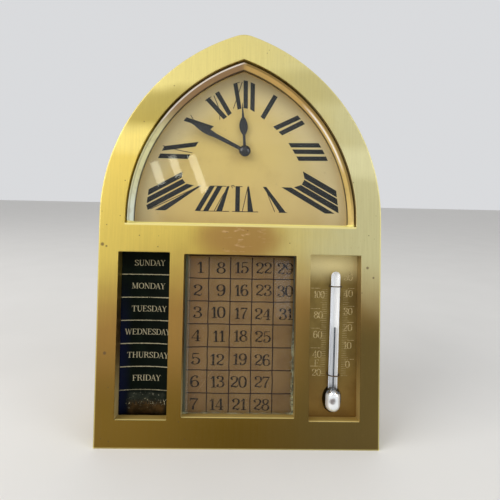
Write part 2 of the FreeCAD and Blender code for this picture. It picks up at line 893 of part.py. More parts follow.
def knurled_wire(radius, count, depth):
    """Outline of a knurled rim, one shallow hollow for each knurl."""
    edges = []
    step = 360.0 / count
    for i in range(count):
        a = polar((0, 0), radius, i * step)
        b = polar((0, 0), radius, i * step + step * 0.5)
        c = polar((0, 0), radius, (i + 1) * step)
        edges.append(arc(a, polar((0, 0), radius, i * step + step * 0.25), b))
        edges.append(arc(b, polar((0, 0), radius - depth, i * step + step * 0.75), c))
    return Part.Wire(edges)


def day_thumbwheel():
    """Knurled disc on the lower roller's shaft, outside the case's left wall."""
    rim = knurled_wire(thumbwheel_radius, thumbwheel_knurls, 0.3)
    wires = [rim, ring_wire((0, 0), roller_shaft + fit_gap)]
    body = slab(wires, 0, thumbwheel_thick)
    body.rotate(V(0, 0, 0), V(0, 0, 1), -90)
    body.translate(V(thumbwheel_left, roller_y, roller_spots[0]))
    return body


def roller_brackets():
    """Four cheeks soldered to the back of the plate, two for each roller."""
    back = roller_y + roller_shaft + bracket_tail + 1.5
    parts = []
    for z in roller_spots:
        for left in (bracket_left - bracket_thick, bracket_right):
            cheek = block(left, left + bracket_thick, z - bracket_height / 2, z + bracket_height / 2,
                          plate_depth, back)
            hole = Part.makeCylinder(roller_shaft + running_gap, bracket_thick + 2,
                                     V(left - 1, roller_y, z), V(1, 0, 0))
            parts.append(cheek.cut(hole))
    return Part.makeCompound(parts)


def case_band():
    """Bent brass wall soldered to the plate, with an inward flange for the back cover."""
    body = arch(case_inset, case_bottom_inset, plate_depth, case_back)
    inner = case_inset + case_wall
    bottom = case_bottom_inset + case_wall
    cuts = [arch(inner, bottom, plate_depth - 1, case_back - flange_thick)]
    flange_front = case_back - flange_thick
    cuts.append(arch(inner + flange_width, bottom + flange_width, flange_front - 1, case_back + 1))
    for centre in cover_screw_spots:
        cuts.append(drill(centre, big_screw + screw_gap, case_back - flange_thick - 1, case_back + 1))
    shaft_hole = Part.makeCylinder(roller_shaft + 0.3, 2 * case_wall + 2,
                                   V(-case_side - 1, roller_y, roller_spots[0]), V(1, 0, 0))
    cuts.append(shaft_hole)
    return cut_all(body, cuts)


def back_cover():
    body = arch(case_inset, case_bottom_inset, case_back, cover_back)
    cuts = [drill(hands, cover_hole, case_back - 1, cover_back + 1)]
    for centre in cover_screw_spots + movement_screw_spots + hinge_screw_spots:
        cuts.append(drill(centre, big_screw + screw_gap, case_back - 1, cover_back + 1))
    return cut_all(body, cuts)


def back_cover_screws():
    length = cover_thick + flange_thick
    parts = [
        screw(centre, cover_back, -1, big_screw, big_head, big_head_height, length)
        for centre in cover_screw_spots
    ]
    return Part.makeCompound(parts)


def movement_screws():
    length = cover_thick + movement_plate
    parts = [screw(c, cover_back, -1, big_screw, big_head, big_head_height, length)
             for c in movement_screw_spots]
    return Part.makeCompound(parts)


pivot_radius = 0.35
arbor_spots = [third_at, fourth_at, escape_at, fork_at, balance_at]


def plate_holes(front, back):
    """Pivot holes that both movement plates share."""
    holes = [drill(c, pivot_radius + running_gap, front - 1, back + 1) for c in arbor_spots]
    holes.append(drill(hands, centre_arbor_radius + running_gap, front - 1, back + 1))
    holes.append(drill(barrel_at, barrel_arbor_radius + running_gap, front - 1, back + 1))
    return holes


def movement_front_plate():
    body = disc(hands, movement_radius, front_plate_front, front_plate_back)
    return cut_all(body, plate_holes(front_plate_front, front_plate_back))


hairspring_turns = 5
hairspring_inner = 1.2
hairspring_pitch = 0.75
hairspring_thick = 0.15
hairspring_outer = hairspring_inner + hairspring_turns * hairspring_pitch


def movement_back_plate():
    """Rear plate, with the stud that holds the outer end of the hairspring."""
    body = disc(hands, movement_radius, back_plate_front, case_back)
    holes = plate_holes(back_plate_front, case_back)
    for centre in pillar_spots + movement_screw_spots:
        holes.append(drill(centre, big_screw + screw_gap, back_plate_front - 1, case_back + 1))
    body = cut_all(body, holes)
    stud_at = (balance_at[0] + hairspring_outer + 0.5, balance_at[1])
    stud = disc(stud_at, 0.4, spring_level, back_plate_front)
    return fuse_all([body, stud])


def plate_pillars():
    parts = []
    for centre in pillar_spots:
        post = disc(centre, pillar_radius, front_plate_back, back_plate_front)
        hole_end = back_plate_front - pillar_thread - 0.5
        hole = drill(centre, big_screw + screw_gap, hole_end, back_plate_front + 1)
        parts.append(post.cut(hole))
    return Part.makeCompound(parts)


def pillar_screws():
    length = movement_plate + pillar_thread
    parts = [screw(c, case_back, -1, big_screw, 1.3, big_head_height, length) for c in pillar_spots]
    return Part.makeCompound(parts)


def arbor(centre, front, back, pivot=pivot_radius):
    """A steel arbor between the plates, turned down to a pivot at each end."""
    shaft = disc(centre, arbor_radius, front_plate_back + 0.2, back_plate_front - 0.2)
    ends = [disc(centre, pivot, front_plate_back - front, front_plate_back + 0.3),
            disc(centre, pivot, back_plate_front - 0.3, back_plate_front + back)]
    return fuse_all([shaft] + ends)


def centre_arbor():
    """Runs from the hands through the whole movement to the setting knob."""
    return disc(hands, centre_arbor_radius, cap_back - 0.5, cover_back + knob_height - 0.6)


def cannon_pinion():
    pipe = disc(hands, cannon_pipe, cap_back + 0.05, front_plate_front - 0.2, centre_arbor_radius + fit_gap)
    leaves = pinion(hands, cannon_leaves, cannon_module, minute_wheel_angle,
                    minute_wheel_level - 0.2, minute_wheel_level + wheel_thick + 0.3,
                    centre_arbor_radius + fit_gap)
    return fuse_all([pipe, leaves])


def minute_wheel():
    toward_cannon = minute_wheel_angle + 180.0
    rim = wheel(minute_at, minute_teeth, cannon_module, gap_phase(toward_cannon, minute_teeth),
                minute_wheel_level, 0.6 + running_gap, spokes=4)
    leaves = pinion(minute_at, minute_leaves, minute_module, toward_cannon,
                    hour_wheel_level - 0.2, minute_wheel_level, 0.6 + running_gap)
    return fuse_all([rim, leaves])


def minute_wheel_post():
    return disc(minute_at, 0.6, hour_wheel_level - 0.3, front_plate_front)


def hour_wheel():
    rim = wheel(hands, hour_teeth, minute_module, gap_phase(minute_wheel_angle, hour_teeth),
                hour_wheel_level, hour_pipe_bore, spokes=4)
    pipe = disc(hands, hour_pipe, hour_hand_back - hand_thick, hour_wheel_level + wheel_thick, hour_pipe_bore)
    return fuse_all([rim, pipe])


def centre_wheel():
    bore = centre_arbor_radius + running_gap
    rim = wheel(hands, centre_teeth, centre_module, third_angle, centre_level, bore)
    pipe = disc(hands, 1.2, centre_level - 0.8, back_plate_front - 0.2, bore)
    leaves = pinion(hands, centre_leaves, barrel_module, gap_phase(barrel_angle, centre_leaves),
                    barrel_rim - 0.6, barrel_rim + 1.8, bore)
    return fuse_all([rim, pipe, leaves])


def third_wheel():
    toward_centre = third_angle + 180.0
    rim = wheel(third_at, third_teeth, third_module, fourth_angle, third_level, arbor_radius - 0.1)
    leaves = pinion(third_at, third_leaves, centre_module, gap_phase(toward_centre, third_leaves),
                    centre_level - 0.4, centre_level + 1.4, 0)
    return fuse_all([arbor(third_at, 1.0, 1.0), rim, leaves])


def fourth_wheel():
    toward_third = fourth_angle + 180.0
    rim = wheel(fourth_at, fourth_teeth, fourth_module, escape_angle, fourth_level,
                arbor_radius - 0.1, addendum=fourth_addendum)
    leaves = pinion(fourth_at, fourth_leaves, third_module, gap_phase(toward_third, fourth_leaves),
                    third_level - 0.4, third_level + 1.4, 0)
    return fuse_all([arbor(fourth_at, 1.0, 1.0), rim, leaves])


def escape_wheel():
    """Fifteen raked teeth on a small pinion."""
    toward_fourth = escape_angle + 180.0
    step = 360.0 / escape_teeth
    root = escape_radius * 0.72
    edges = []
    for i in range(escape_teeth):
        at = i * step
        tip_a = polar(escape_at, escape_radius, at)
        tip_b = polar(escape_at, escape_radius, at + step * 0.1)
        foot = polar(escape_at, root, at + step * 0.45)
        heel = polar(escape_at, root, at + step * 0.85)
        tip_next = polar(escape_at, escape_radius, at + step)
        edges += [line(tip_a, tip_b), line(tip_b, foot), line(foot, heel), line(heel, tip_next)]
    wires = [Part.Wire(edges)] + spoke_windows(escape_at, 1.2, root - 0.5, 4, 0.5)
    rim = slab(wires, escape_level, escape_level + 0.6)
    leaves = pinion(escape_at, escape_leaves, fourth_module, gap_phase(toward_fourth, escape_leaves),
                    fourth_level - 0.4, fourth_level + 1.4, 0, addendum=escape_leaf_addendum)
    return fuse_all([arbor(escape_at, 1.0, 1.0), rim, leaves])


def pallet_fork():
    """Lever with two upright pins that stand just outside the escape wheel's tips."""
    reach = escape_radius + pallet_pin + 0.3
    level = escape_level + 1.3
    toward = balance_angle
    pins = []
    arms = []
    for side in (-1, 1):
        at = polar(escape_at, reach, toward + side * pallet_spread)
        pins.append(disc(at, pallet_pin, escape_level - 0.4, level + 0.6))
        arms.append(disc(at, 0.5, level, level + 0.6))
        arms.append(bar(fork_at, at, 0.7, level, level + 0.6))
    tail = polar(fork_at, balance_distance - fork_distance - 1.9, toward)
    arms.append(bar(fork_at, tail, 0.8, level, level + 0.6))
    for side in (-1, 1):
        horn = polar(tail, 0.9, toward + side * 60)
        arms.append(bar(tail, horn, 0.4, level, level + 0.6))
    hub = disc(fork_at, 0.9, level, level + 0.6)
    return fuse_all([arbor(fork_at, 1.0, 1.0), hub] + arms + pins)


def bar(a, b, width, front, back):
    """A straight flat bar between two places, as wide as given."""
    dx = b[0] - a[0]
    dz = b[1] - a[1]
    length = math.hypot(dx, dz)
    nx = -dz / length * width / 2
    nz = dx / length * width / 2
    corners = [(a[0] + nx, a[1] + nz), (b[0] + nx, b[1] + nz), (b[0] - nx, b[1] - nz), (a[0] - nx, a[1] - nz)]
    edges = [line(corners[i], corners[(i + 1) % 4]) for i in range(4)]
    return slab([Part.Wire(edges)], front, back)


def balance_wheel():
    windows = spoke_windows(balance_at, 1.2, balance_radius - 0.9, 2, 1.0)
    wires = [ring_wire(balance_at, balance_radius)] + windows
    rim = slab(wires, balance_level, balance_level + 1.0)
    roller_table = disc(balance_at, 1.2, escape_level - 0.2, escape_level + 0.4)
    collet = disc(balance_at, hairspring_inner - 0.2, spring_level - 0.2, spring_level + 0.8)
    return fuse_all([arbor(balance_at, 1.0, 1.0), rim, roller_table, collet])


def spiral_strip(centre, inner, pitch, turns, thick, front, back):
    """A flat coiled strip, drawn as half turns whose radius grows by half a pitch."""
    outside = []
    inside = []
    for half in range(2 * turns):
        radius = inner + pitch * half / 2 + pitch / 4
        shift = pitch / 4 if half % 2 else -pitch / 4
        middle = (centre[0] + shift, centre[1])
        start = 180.0 if half % 2 else 0.0
        for store, r in ((outside, radius + thick / 2), (inside, radius - thick / 2)):
            points = [polar(middle, r, start + turn) for turn in (0, 90, 180)]
            store.append(arc(*points))
    first_out = outside[0].Vertexes[0].Point
    first_in = inside[0].Vertexes[0].Point
    last_out = outside[-1].Vertexes[-1].Point
    last_in = inside[-1].Vertexes[-1].Point
    ends = [Part.makeLine(first_in, first_out), Part.makeLine(last_out, last_in)]
    wire = Part.Wire(Part.__sortEdges__(outside + inside + ends))
    return slab([wire], front, back)


def hairspring():
    return spiral_strip(balance_at, hairspring_inner, hairspring_pitch, hairspring_turns, hairspring_thick,
                        spring_level, spring_level + 0.6)


def regulator_lever():
    """Lever on the outside of the rear plate, turned to make the clock faster or slower."""
    front = case_back + 0.1
    back = case_back + 0.8
    ring = disc(balance_at, 2.2, front, back, 0.9)
    tip = polar(balance_at, lever_length, 270.0)
    start = polar(balance_at, 1.6, 270.0)
    return fuse_all([ring, bar(start, tip, 1.0, front, back), disc(tip, 0.8, front, back)])


def balance_bush():
    """Brass bush in the rear plate that the regulator turns on, with a head that keeps it on."""
    return disc(balance_at, 0.85, case_back, case_back + 0.9).fuse(
        disc(balance_at, 1.4, case_back + 0.85, case_back + 1.2)).removeSplitter()


def mainspring_barrel():
    """Toothed drum, closed at the rear, that holds the mainspring."""
    toward_centre = barrel_angle + 180.0
    drum = disc(barrel_at, barrel_radius, barrel_front, barrel_back, barrel_arbor_radius + running_gap)
    hollow = disc(barrel_at, barrel_radius - barrel_wall, barrel_front - 1, barrel_back - 0.8)
    outline = gear_wire(barrel_at, barrel_teeth, barrel_module, wheel_addendum, wheel_dedendum, toward_centre)
    teeth = slab([outline, ring_wire(barrel_at, barrel_radius - 0.2)], barrel_rim, barrel_rim + 1.2)
    return fuse_all([drum.cut(hollow), teeth])


def barrel_lid():
    return disc(barrel_at, barrel_radius - barrel_wall, barrel_front, barrel_front + 0.6,
                barrel_arbor_radius + running_gap)


def mainspring():
    pitch = (barrel_radius - barrel_wall - 0.2 - mainspring_inner) / mainspring_turns
    return spiral_strip(barrel_at, mainspring_inner, pitch, mainspring_turns, mainspring_thick,
                        barrel_front + 0.9, barrel_back - 1.1)


def barrel_arbor():
    """Winding arbor: a thick core inside the barrel and a square end for the key."""
    shaft = disc(barrel_at, barrel_arbor_radius, front_plate_front + 0.3, case_back + 0.3)
    core = disc(barrel_at, 3.4, barrel_front + 0.8, barrel_back - 1.0)
    half = key_square / 2
    x, z = barrel_at
    square = block(x - half, x + half, z - half, z + half, case_back, case_back + 6.0)
    return fuse_all([shaft, core, square])


def ratchet_wheel():
    """Saw-toothed wheel squared onto the winding arbor."""
    step = 360.0 / ratchet_teeth
    root = ratchet_radius - 0.8
    edges = []
    for i in range(ratchet_teeth):
        at = i * step
        tip = polar(barrel_at, ratchet_radius, at)
        foot = polar(barrel_at, root, at + step * 0.12)
        next_tip = polar(barrel_at, ratchet_radius, at + step)
        edges += [line(tip, foot), line(foot, next_tip)]
    wires = [Part.Wire(edges), ring_wire(barrel_at, barrel_arbor_radius + fit_gap)]
    return slab(wires, ratchet_level, ratchet_level + wheel_thick)


click_pivot = polar(barrel_at, click_distance, 60.0)
click_tip = polar(barrel_at, ratchet_radius + 0.12, 100.0)


def ratchet_click():
    """Pawl drawn as it rides over a tooth, so its point stands just off the ratchet's tips."""
    nose = polar(barrel_at, ratchet_radius + 1.1, 96.0)
    heel = polar(click_pivot, 1.0, 200.0)
    edges = [line(click_tip, nose), line(nose, polar(click_pivot, 1.1, 120.0)),
             line(polar(click_pivot, 1.1, 120.0), heel), line(heel, click_tip)]
    beak = slab([Part.Wire(edges)], ratchet_level, ratchet_level + wheel_thick)
    hub = disc(click_pivot, 1.4, ratchet_level, ratchet_level + wheel_thick)
    hole = drill(click_pivot, 0.7 + running_gap, ratchet_level - 1, ratchet_level + wheel_thick + 1)
    return beak.fuse(hub).cut(hole).removeSplitter()


def click_screw():
    """Shouldered screw that the click turns on, driven into the rear plate from inside."""
    shank = disc(click_pivot, 0.7, ratchet_level - 0.05, back_plate_front)
    head = disc(click_pivot, 1.2, ratchet_level - 0.25, ratchet_level - 0.05)
    return fuse_all([shank, head])


spring_post = polar(barrel_at, click_distance + 2.6, 40.0)


def click_spring():
    """Thin leaf from a post in the rear plate, bearing on the back of the click."""
    tip = polar(click_pivot, 2.25, 118.0)
    leaf = bar(spring_post, polar(tip, 0.25, 60.0), 0.25, ratchet_level + 0.1, ratchet_level + 0.7)
    return fuse_all([leaf, disc(spring_post, 0.5, ratchet_level + 0.1, back_plate_front)])


def set_hands_knob():
    """Knurled knob on the rear end of the centre arbor."""
    wires = [knurled_wire(knob_radius, knob_knurls, 0.25), ring_wire((0, 0), centre_arbor_radius + fit_gap)]
    body = slab(wires, 0, knob_height)
    body.translate(V(hands_x, cover_back + 0.3, hands_z))
    return body


def winding_key():
    """Butterfly key on the square end of the winding arbor."""
    x, z = barrel_at
    front = case_back + 0.5
    hub_back = front + key_hub_length
    wing_y = hub_back + key_wing - 1.0
    wing_low = z - key_wing_thick / 2
    wing_high = z + key_wing_thick / 2
    hub = disc(barrel_at, key_hub, front, hub_back)
    parts = [hub]
    for side in (-1, 1):
        wing_x = x + side * (key_wing + key_eye_shift)
        eye_x = wing_x + side * key_eye_shift
        wing = Part.makeCylinder(key_wing, key_wing_thick, V(wing_x, wing_y, wing_low), V(0, 0, 1))
        eye = Part.makeCylinder(key_eye, key_wing_thick + 2, V(eye_x, wing_y, wing_low - 1), V(0, 0, 1))
        parts.append(wing.cut(eye))
    web = block(x - key_web, x + key_web, wing_low, wing_high, hub_back - 0.5, wing_y + key_eye)
    parts.append(web)
    half = key_square / 2 + fit_gap
    socket = block(x - half, x + half, z - half, z + half, front - 1, case_back + key_socket)
    return fuse_all(parts).cut(socket)


def strut_point(distance):
    """Depth and height of a point down the open strut, measured from its pin."""
    a = math.radians(strut_spread)
    return (hinge_y + distance * math.sin(a), hinge_z - distance * math.cos(a))


def floor_height(y, z):
    """Height above the table of a point at a depth and height in the plate's frame."""
    a = math.radians(lean)
    return z * math.cos(a) - y * math.sin(a)


strut_drop = floor_height(hinge_y, hinge_z) - strut_thick / 2
strut_length = strut_drop / math.cos(math.radians(strut_spread - lean))
strut_leaf = strut_top_width / 2 - 0.4


def strut_leg():
    """Sheet brass strut that widens to its foot, with a slot, and one knuckle on the pin."""
    half_top = strut_top_width / 2
    half_foot = strut_foot_width / 2
    rise = (hinge_knuckle + hinge_clear - heel_gap - strut_thick / 2 * math.cos(math.radians(strut_spread)))
    heel = rise / math.sin(math.radians(strut_spread))
    outline = Part.makePolygon([V(-half_top, 0, heel), V(half_top, 0, heel), V(half_top, 0, -strut_shoulder),
                                V(half_foot, 0, -strut_length), V(-half_foot, 0, -strut_length),
                                V(-half_top, 0, -strut_shoulder), V(-half_top, 0, heel)])
    sheet = Part.Face(outline).extrude(V(0, strut_thick, 0))
    sheet.translate(V(0, -strut_thick / 2, 0))
    foot = Part.makeCylinder(strut_thick / 2, strut_foot_width, V(-half_foot, 0, -strut_length), V(1, 0, 0))
    knuckle = Part.makeCylinder(hinge_knuckle, strut_top_width, V(-half_top, 0, 0), V(1, 0, 0))
    hole = Part.makeCylinder(hinge_pin + running_gap, strut_top_width + 2, V(-half_top - 1, 0, 0), V(1, 0, 0))
    slot_low = -strut_length + strut_slot_end
    slot_high = -strut_slot_end
    window = block(-strut_slot, strut_slot, slot_low, slot_high, -strut_thick, strut_thick)
    ends = [Part.makeCylinder(strut_slot, 2 * strut_thick, V(0, -strut_thick, z), V(0, 1, 0))
            for z in (slot_low, slot_high)]
    whole = fuse_all([sheet, foot, knuckle]).cut(Part.makeCompound([hole, window] + ends))
    whole.rotate(V(0, 0, 0), V(1, 0, 0), strut_spread)
    whole.translate(V(0, hinge_y, hinge_z))
    return whole


def strut_hinge_plate():
    """Plate on the back cover with a lug each side of the strut's knuckle."""
    half = hinge_plate_width / 2
    low = hinge_z - hinge_plate_height / 2
    high = hinge_z + hinge_plate_height / 2
    plate = block(-half, half, low, high, cover_back, hinge_plate_back)
    inner = strut_top_width / 2 + 0.2
    outer = inner + 2.4
    parts = [plate]
    holes = []
    for side in (-1, 1):
        left = inner if side > 0 else -outer
        lug = Part.makeCylinder(hinge_knuckle, outer - inner, V(left, hinge_y, hinge_z), V(1, 0, 0))
        web = block(left, left + outer - inner, hinge_z - hinge_knuckle, hinge_z + hinge_knuckle,
                    hinge_plate_back - 0.1, hinge_y)
        parts += [lug, web]
        holes.append(Part.makeCylinder(hinge_pin + fit_gap, outer - inner + 2, V(left - 1, hinge_y, hinge_z),
                                       V(1, 0, 0)))
    for centre in hinge_screw_spots:
        holes.append(drill(centre, big_screw + screw_gap, cover_back - 1, hinge_plate_back + 1))
    return cut_all(fuse_all(parts), holes)


def strut_pin():
    reach = strut_top_width / 2 + 0.2 + 2.4 + 0.4
    return Part.makeCylinder(hinge_pin, 2 * reach, V(-reach, hinge_y, hinge_z), V(1, 0, 0))


def hinge_screws():
    length = hinge_plate_thick + cover_thick
    parts = [screw(c, hinge_plate_back, -1, big_screw, 1.3, 0.7, length) for c in hinge_screw_spots]
    return Part.makeCompound(parts)


def level_underside(shape):
    """Planes the plate's underside so that it lies flat once the clock leans back."""
    deep = plate_depth + 2
    drop = deep * math.tan(math.radians(lean))
    edges = [
        Part.makeLine(V(0, -2, -drop), V(0, deep, -drop)),
        Part.makeLine(V(0, deep, -drop), V(0, deep, drop)),
        Part.makeLine(V(0, deep, drop), V(0, 0, 0)),
        Part.makeLine(V(0, 0, 0), V(0, -2, 0)),
        Part.makeLine(V(0, -2, 0), V(0, -2, -drop)),
    ]
    wedge = Part.Face(Part.Wire(edges)).extrude(V(plate_width + 2, 0, 0))
    wedge.translate(V(-half_width - 1, 0, 0))
    return shape.cut(wedge)


# The rest place of the whole clock: leant back, and centred front to back on its footprint
foot_y, foot_z = strut_point(strut_length)
lean_turn = math.radians(lean)
foot_back = foot_y * math.cos(lean_turn) + foot_z * math.sin(lean_turn) + strut_thick / 2
stand_shift = V(0, -foot_back / 2, 0)


def stand(shape):
    """Leans a shape back and moves it to its place on the table."""
    shape.rotate(V(0, 0, 0), V(1, 0, 0), -lean)
    shape.translate(stand_shift)
    return shape


def standing_point(x, y, z):
    """Where a point of the plate's frame is once the clock stands."""
    c = math.cos(lean_turn)
    s = math.sin(lean_turn)
    return (x, y * c + z * s + stand_shift.y, z * c - y * s)


pieces = {
    "front_frame": lambda: level_underside(front_frame()),
    "dial_bezel": dial_bezel,
    "dial_glass": dial_glass,
    "dial_spacer": dial_spacer,
    "dial_plate": dial_plate,
    "hour_hand": hour_hand,
    "minute_hand": minute_hand,
    "hand_cap": hand_cap,
    "calendar_glass": calendar_glass,
    "calendar_card": calendar_card,
    "calendar_backing": calendar_backing,
    "card_screws": card_screws,
    "thermometer_scale": thermometer_scale,
    "thermometer_tube": thermometer_tube,
    "thermometer_mercury": thermometer_mercury,
    "thermometer_clips": thermometer_clips,
    "thermometer_screws": thermometer_screws,
    "weekday_band": weekday_band,
    "upper_roller": upper_roller,
    "lower_roller": lower_roller,
    "day_thumbwheel": day_thumbwheel,
    "roller_brackets": roller_brackets,
    "case_band": case_band,
    "back_cover": back_cover,
    "back_cover_screws": back_cover_screws,
    "movement_screws": movement_screws,
    "movement_front_plate": movement_front_plate,
    "movement_back_plate": movement_back_plate,
    "plate_pillars": plate_pillars,
    "pillar_screws": pillar_screws,
    "centre_arbor": centre_arbor,
    "cannon_pinion": cannon_pinion,
    "minute_wheel": minute_wheel,
    "minute_wheel_post": minute_wheel_post,
    "hour_wheel": hour_wheel,
    "centre_wheel": centre_wheel,
    "third_wheel": third_wheel,
    "fourth_wheel": fourth_wheel,
    "escape_wheel": escape_wheel,
    "pallet_fork": pallet_fork,
    "balance_wheel": balance_wheel,
    "hairspring": hairspring,
    "balance_bush": balance_bush,
    "regulator_lever": regulator_lever,
    "mainspring_barrel": mainspring_barrel,
    "barrel_lid": barrel_lid,
    "mainspring": mainspring,
    "barrel_arbor": barrel_arbor,
    "ratchet_wheel": ratchet_wheel,
    "ratchet_click": ratchet_click,
    "click_screw": click_screw,
    "click_spring": click_spring,
    "set_hands_knob": set_hands_knob,
    "winding_key": winding_key,
    "strut_leg": strut_leg,
    "strut_hinge_plate": strut_hinge_plate,
    "strut_pin": strut_pin,
    "hinge_screws": hinge_screws,
}

os.makedirs("parts", exist_ok=True)
for name, make in pieces.items():
    shape = stand(make())
    shape.exportStep("parts/" + name + ".step")
    state = "" if shape.isValid() else "INVALID"
    print(name, len(shape.Solids), "solids", round(shape.Volume, 2), "mm3", state)
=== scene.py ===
# Desk clock in a brass arch, with a weekday band, a month table and a glass thermometer.
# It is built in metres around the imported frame, and goes through the clock piece by piece.
import json
import math

import bmesh
import bpy
from mathutils import Matrix, Vector


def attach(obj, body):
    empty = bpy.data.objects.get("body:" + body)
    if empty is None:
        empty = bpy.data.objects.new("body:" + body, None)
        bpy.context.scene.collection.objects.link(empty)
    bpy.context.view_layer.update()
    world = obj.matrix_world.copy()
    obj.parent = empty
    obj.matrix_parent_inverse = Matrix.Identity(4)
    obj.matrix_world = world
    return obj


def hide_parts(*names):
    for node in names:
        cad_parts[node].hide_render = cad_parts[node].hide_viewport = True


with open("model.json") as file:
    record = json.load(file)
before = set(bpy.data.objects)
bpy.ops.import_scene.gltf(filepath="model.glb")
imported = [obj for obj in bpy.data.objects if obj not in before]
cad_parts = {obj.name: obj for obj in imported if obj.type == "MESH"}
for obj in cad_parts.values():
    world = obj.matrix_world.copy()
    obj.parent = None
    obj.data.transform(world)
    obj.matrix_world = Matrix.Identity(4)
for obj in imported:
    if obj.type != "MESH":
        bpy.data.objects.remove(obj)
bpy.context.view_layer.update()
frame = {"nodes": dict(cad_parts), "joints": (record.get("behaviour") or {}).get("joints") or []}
nodes = frame["nodes"]


# The leaning plate: the whole clock hangs on its brass front plate, which leans back ten degrees.
# Places on it are given in millimetres across, behind the front face and up from its foot.
lean = math.radians(10.0)
hands_spot = Vector((1.2, 20.0, 149.8))
hands_joint = next(j for j in frame["joints"] if j["name"] == "hand_setting")
plate_turn = Matrix.Rotation(-lean, 4, "X")
plate_matrix = (
    Matrix.Translation(hands_joint["pos_m"]) @ plate_turn
    @ Matrix.Scale(0.001, 4) @ Matrix.Translation(-hands_spot)
)


# The camera: it is held close in front of the clock and a little above its middle, so its lens is wide.
# It looks slightly down, and it is turned a little in the hand.
camera_data = bpy.data.cameras.new("camera")
camera_data.lens = 27.0
camera_data.sensor_width = 36.0
camera_data.clip_start = 0.01
camera = bpy.data.objects.new("camera", camera_data)
camera.location = (0.00085, -0.21331, 0.12377)
camera.rotation_euler = [math.radians(a) for a in (81.5, -1.205, -0.989)]
bpy.context.scene.collection.objects.link(camera)
bpy.context.scene.camera = camera
bpy.context.scene.view_settings.view_transform = "Standard"


# The floor: a wide pale board, which is only the stage, and meets the pale room far behind the clock.
# It has a fine grain, so that the clock's shadow has something to lie on.
class Shade:
    """One socket of a material's tree. Sums written with it add Math nodes, and node() adds any other."""

    def __init__(self, tree, socket=None):
        self.tree = tree
        self.socket = socket

    def node(self, kind, settings, sockets, outlet=0):
        made = self.tree.nodes.new("ShaderNode" + kind)
        for name, value in settings.items():
            if name == "stops":
                elements = made.color_ramp.elements
                for place, colour in value[2:]:
                    elements.new(place)
                for element, (place, colour) in zip(elements, value):
                    element.position = place
                    element.color = (*colour, 1.0)
            else:
                setattr(made, name, value)
        for name, value in sockets.items():
            if isinstance(value, Shade):
                self.tree.links.new(value.socket, made.inputs[name])
            else:
                made.inputs[name].default_value = value
        return Shade(self.tree, made.outputs[outlet] if made.outputs else None)

    def sum(self, operation, first, second):
        return self.node("Math", {"operation": operation}, {0: first, 1: second})

    def __add__(self, other):
        return self.sum("ADD", self, other)

    def __sub__(self, other):
        return self.sum("SUBTRACT", self, other)

    def __rsub__(self, other):
        return self.sum("SUBTRACT", other, self)

    def __mul__(self, other):
        return self.sum("MULTIPLY", self, other)

    def __pow__(self, other):
        return self.sum("POWER", self, other)

    __radd__ = __add__
    __rmul__ = __mul__


def bare_material(name):
    """An empty material and the Shade that writes its tree."""
    material = bpy.data.materials.new(name)
    material.use_nodes = True
    material.node_tree.nodes.clear()
    return material, Shade(material.node_tree)


def close_material(shade, sockets):
    """Puts the finish on the surface: what varies is linked, and the rest is set on the shader itself."""
    surface = shade.node("BsdfPrincipled", {}, sockets)
    shade.node("OutputMaterial", {}, {"Surface": surface})


def rgba(colour):
    return (*colour, 1.0)


def mix(factor, low, high):
    """One colour where the factor is 0 and the other where it is 1."""
    low, high = [c if isinstance(c, Shade) else rgba(c) for c in (low, high)]
    return factor.node("Mix", {"data_type": "RGBA"}, {0: factor, 6: low, 7: high}, 2)


def fade(value, start, end):
    """0 below start, 1 above end, and smooth between them. start may be above end."""
    settings = {"interpolation_type": "SMOOTHSTEP", "clamp": True}
    if start < end:
        return value.node("MapRange", settings, {0: value, 1: start, 2: end})
    return 1.0 - value.node("MapRange", settings, {0: value, 1: end, 2: start})


def mottle(place, size, detail=2.0, rough=0.5, stretch=(1, 1, 1), shift=(0, 0, 0)):
    """Cloudy noise with blotches about this many millimetres across, drawn out along an axis if asked."""
    finer = [1 / s for s in stretch]
    scaled = place.node("Mapping", {}, {"Vector": place, "Location": shift, "Scale": finer})
    noise = {"Vector": scaled, "Scale": 1.0 / size, "Detail": detail, "Roughness": rough}
    return place.node("TexNoise", {}, noise, 0)


def bumps(height, depth, normal=None):
    """Relief of that height in millimetres."""
    sockets = {"Height": height, "Distance": depth / 1000, "Strength": 1.0}
    if normal:
        sockets["Normal"] = normal
    return height.node("Bump", {}, sockets)


def on_object(shade):
    """Object coordinates in millimetres."""
    raw = shade.node("TexCoord", {}, {}, "Object")
    return shade.node("Mapping", {}, {"Vector": raw, "Scale": (1000, 1000, 1000)})


floor_reach = 4.0
floor_mesh = bpy.data.meshes.new("floor")
floor_corners = [(floor_reach * x, floor_reach * y, 0) for x, y in ((-1, -1), (1, -1), (1, 1), (-1, 1))]
floor_mesh.from_pydata(floor_corners, [], [(0, 1, 2, 3)])
floor = bpy.data.objects.new("floor", floor_mesh)
bpy.context.scene.collection.objects.link(floor)
pale_board, shade = bare_material("pale_board")
place = on_object(shade)
board_grain = mottle(place, 1.2, 3.0)
close_material(shade, {
    "Base Color": mix(mottle(place, 60.0, 2.0), (0.74, 0.73, 0.715), (0.79, 0.78, 0.765)),
    "Roughness": 0.62,
    "Normal": bumps(board_grain, 0.02),
})
floor_mesh.materials.append(pale_board)


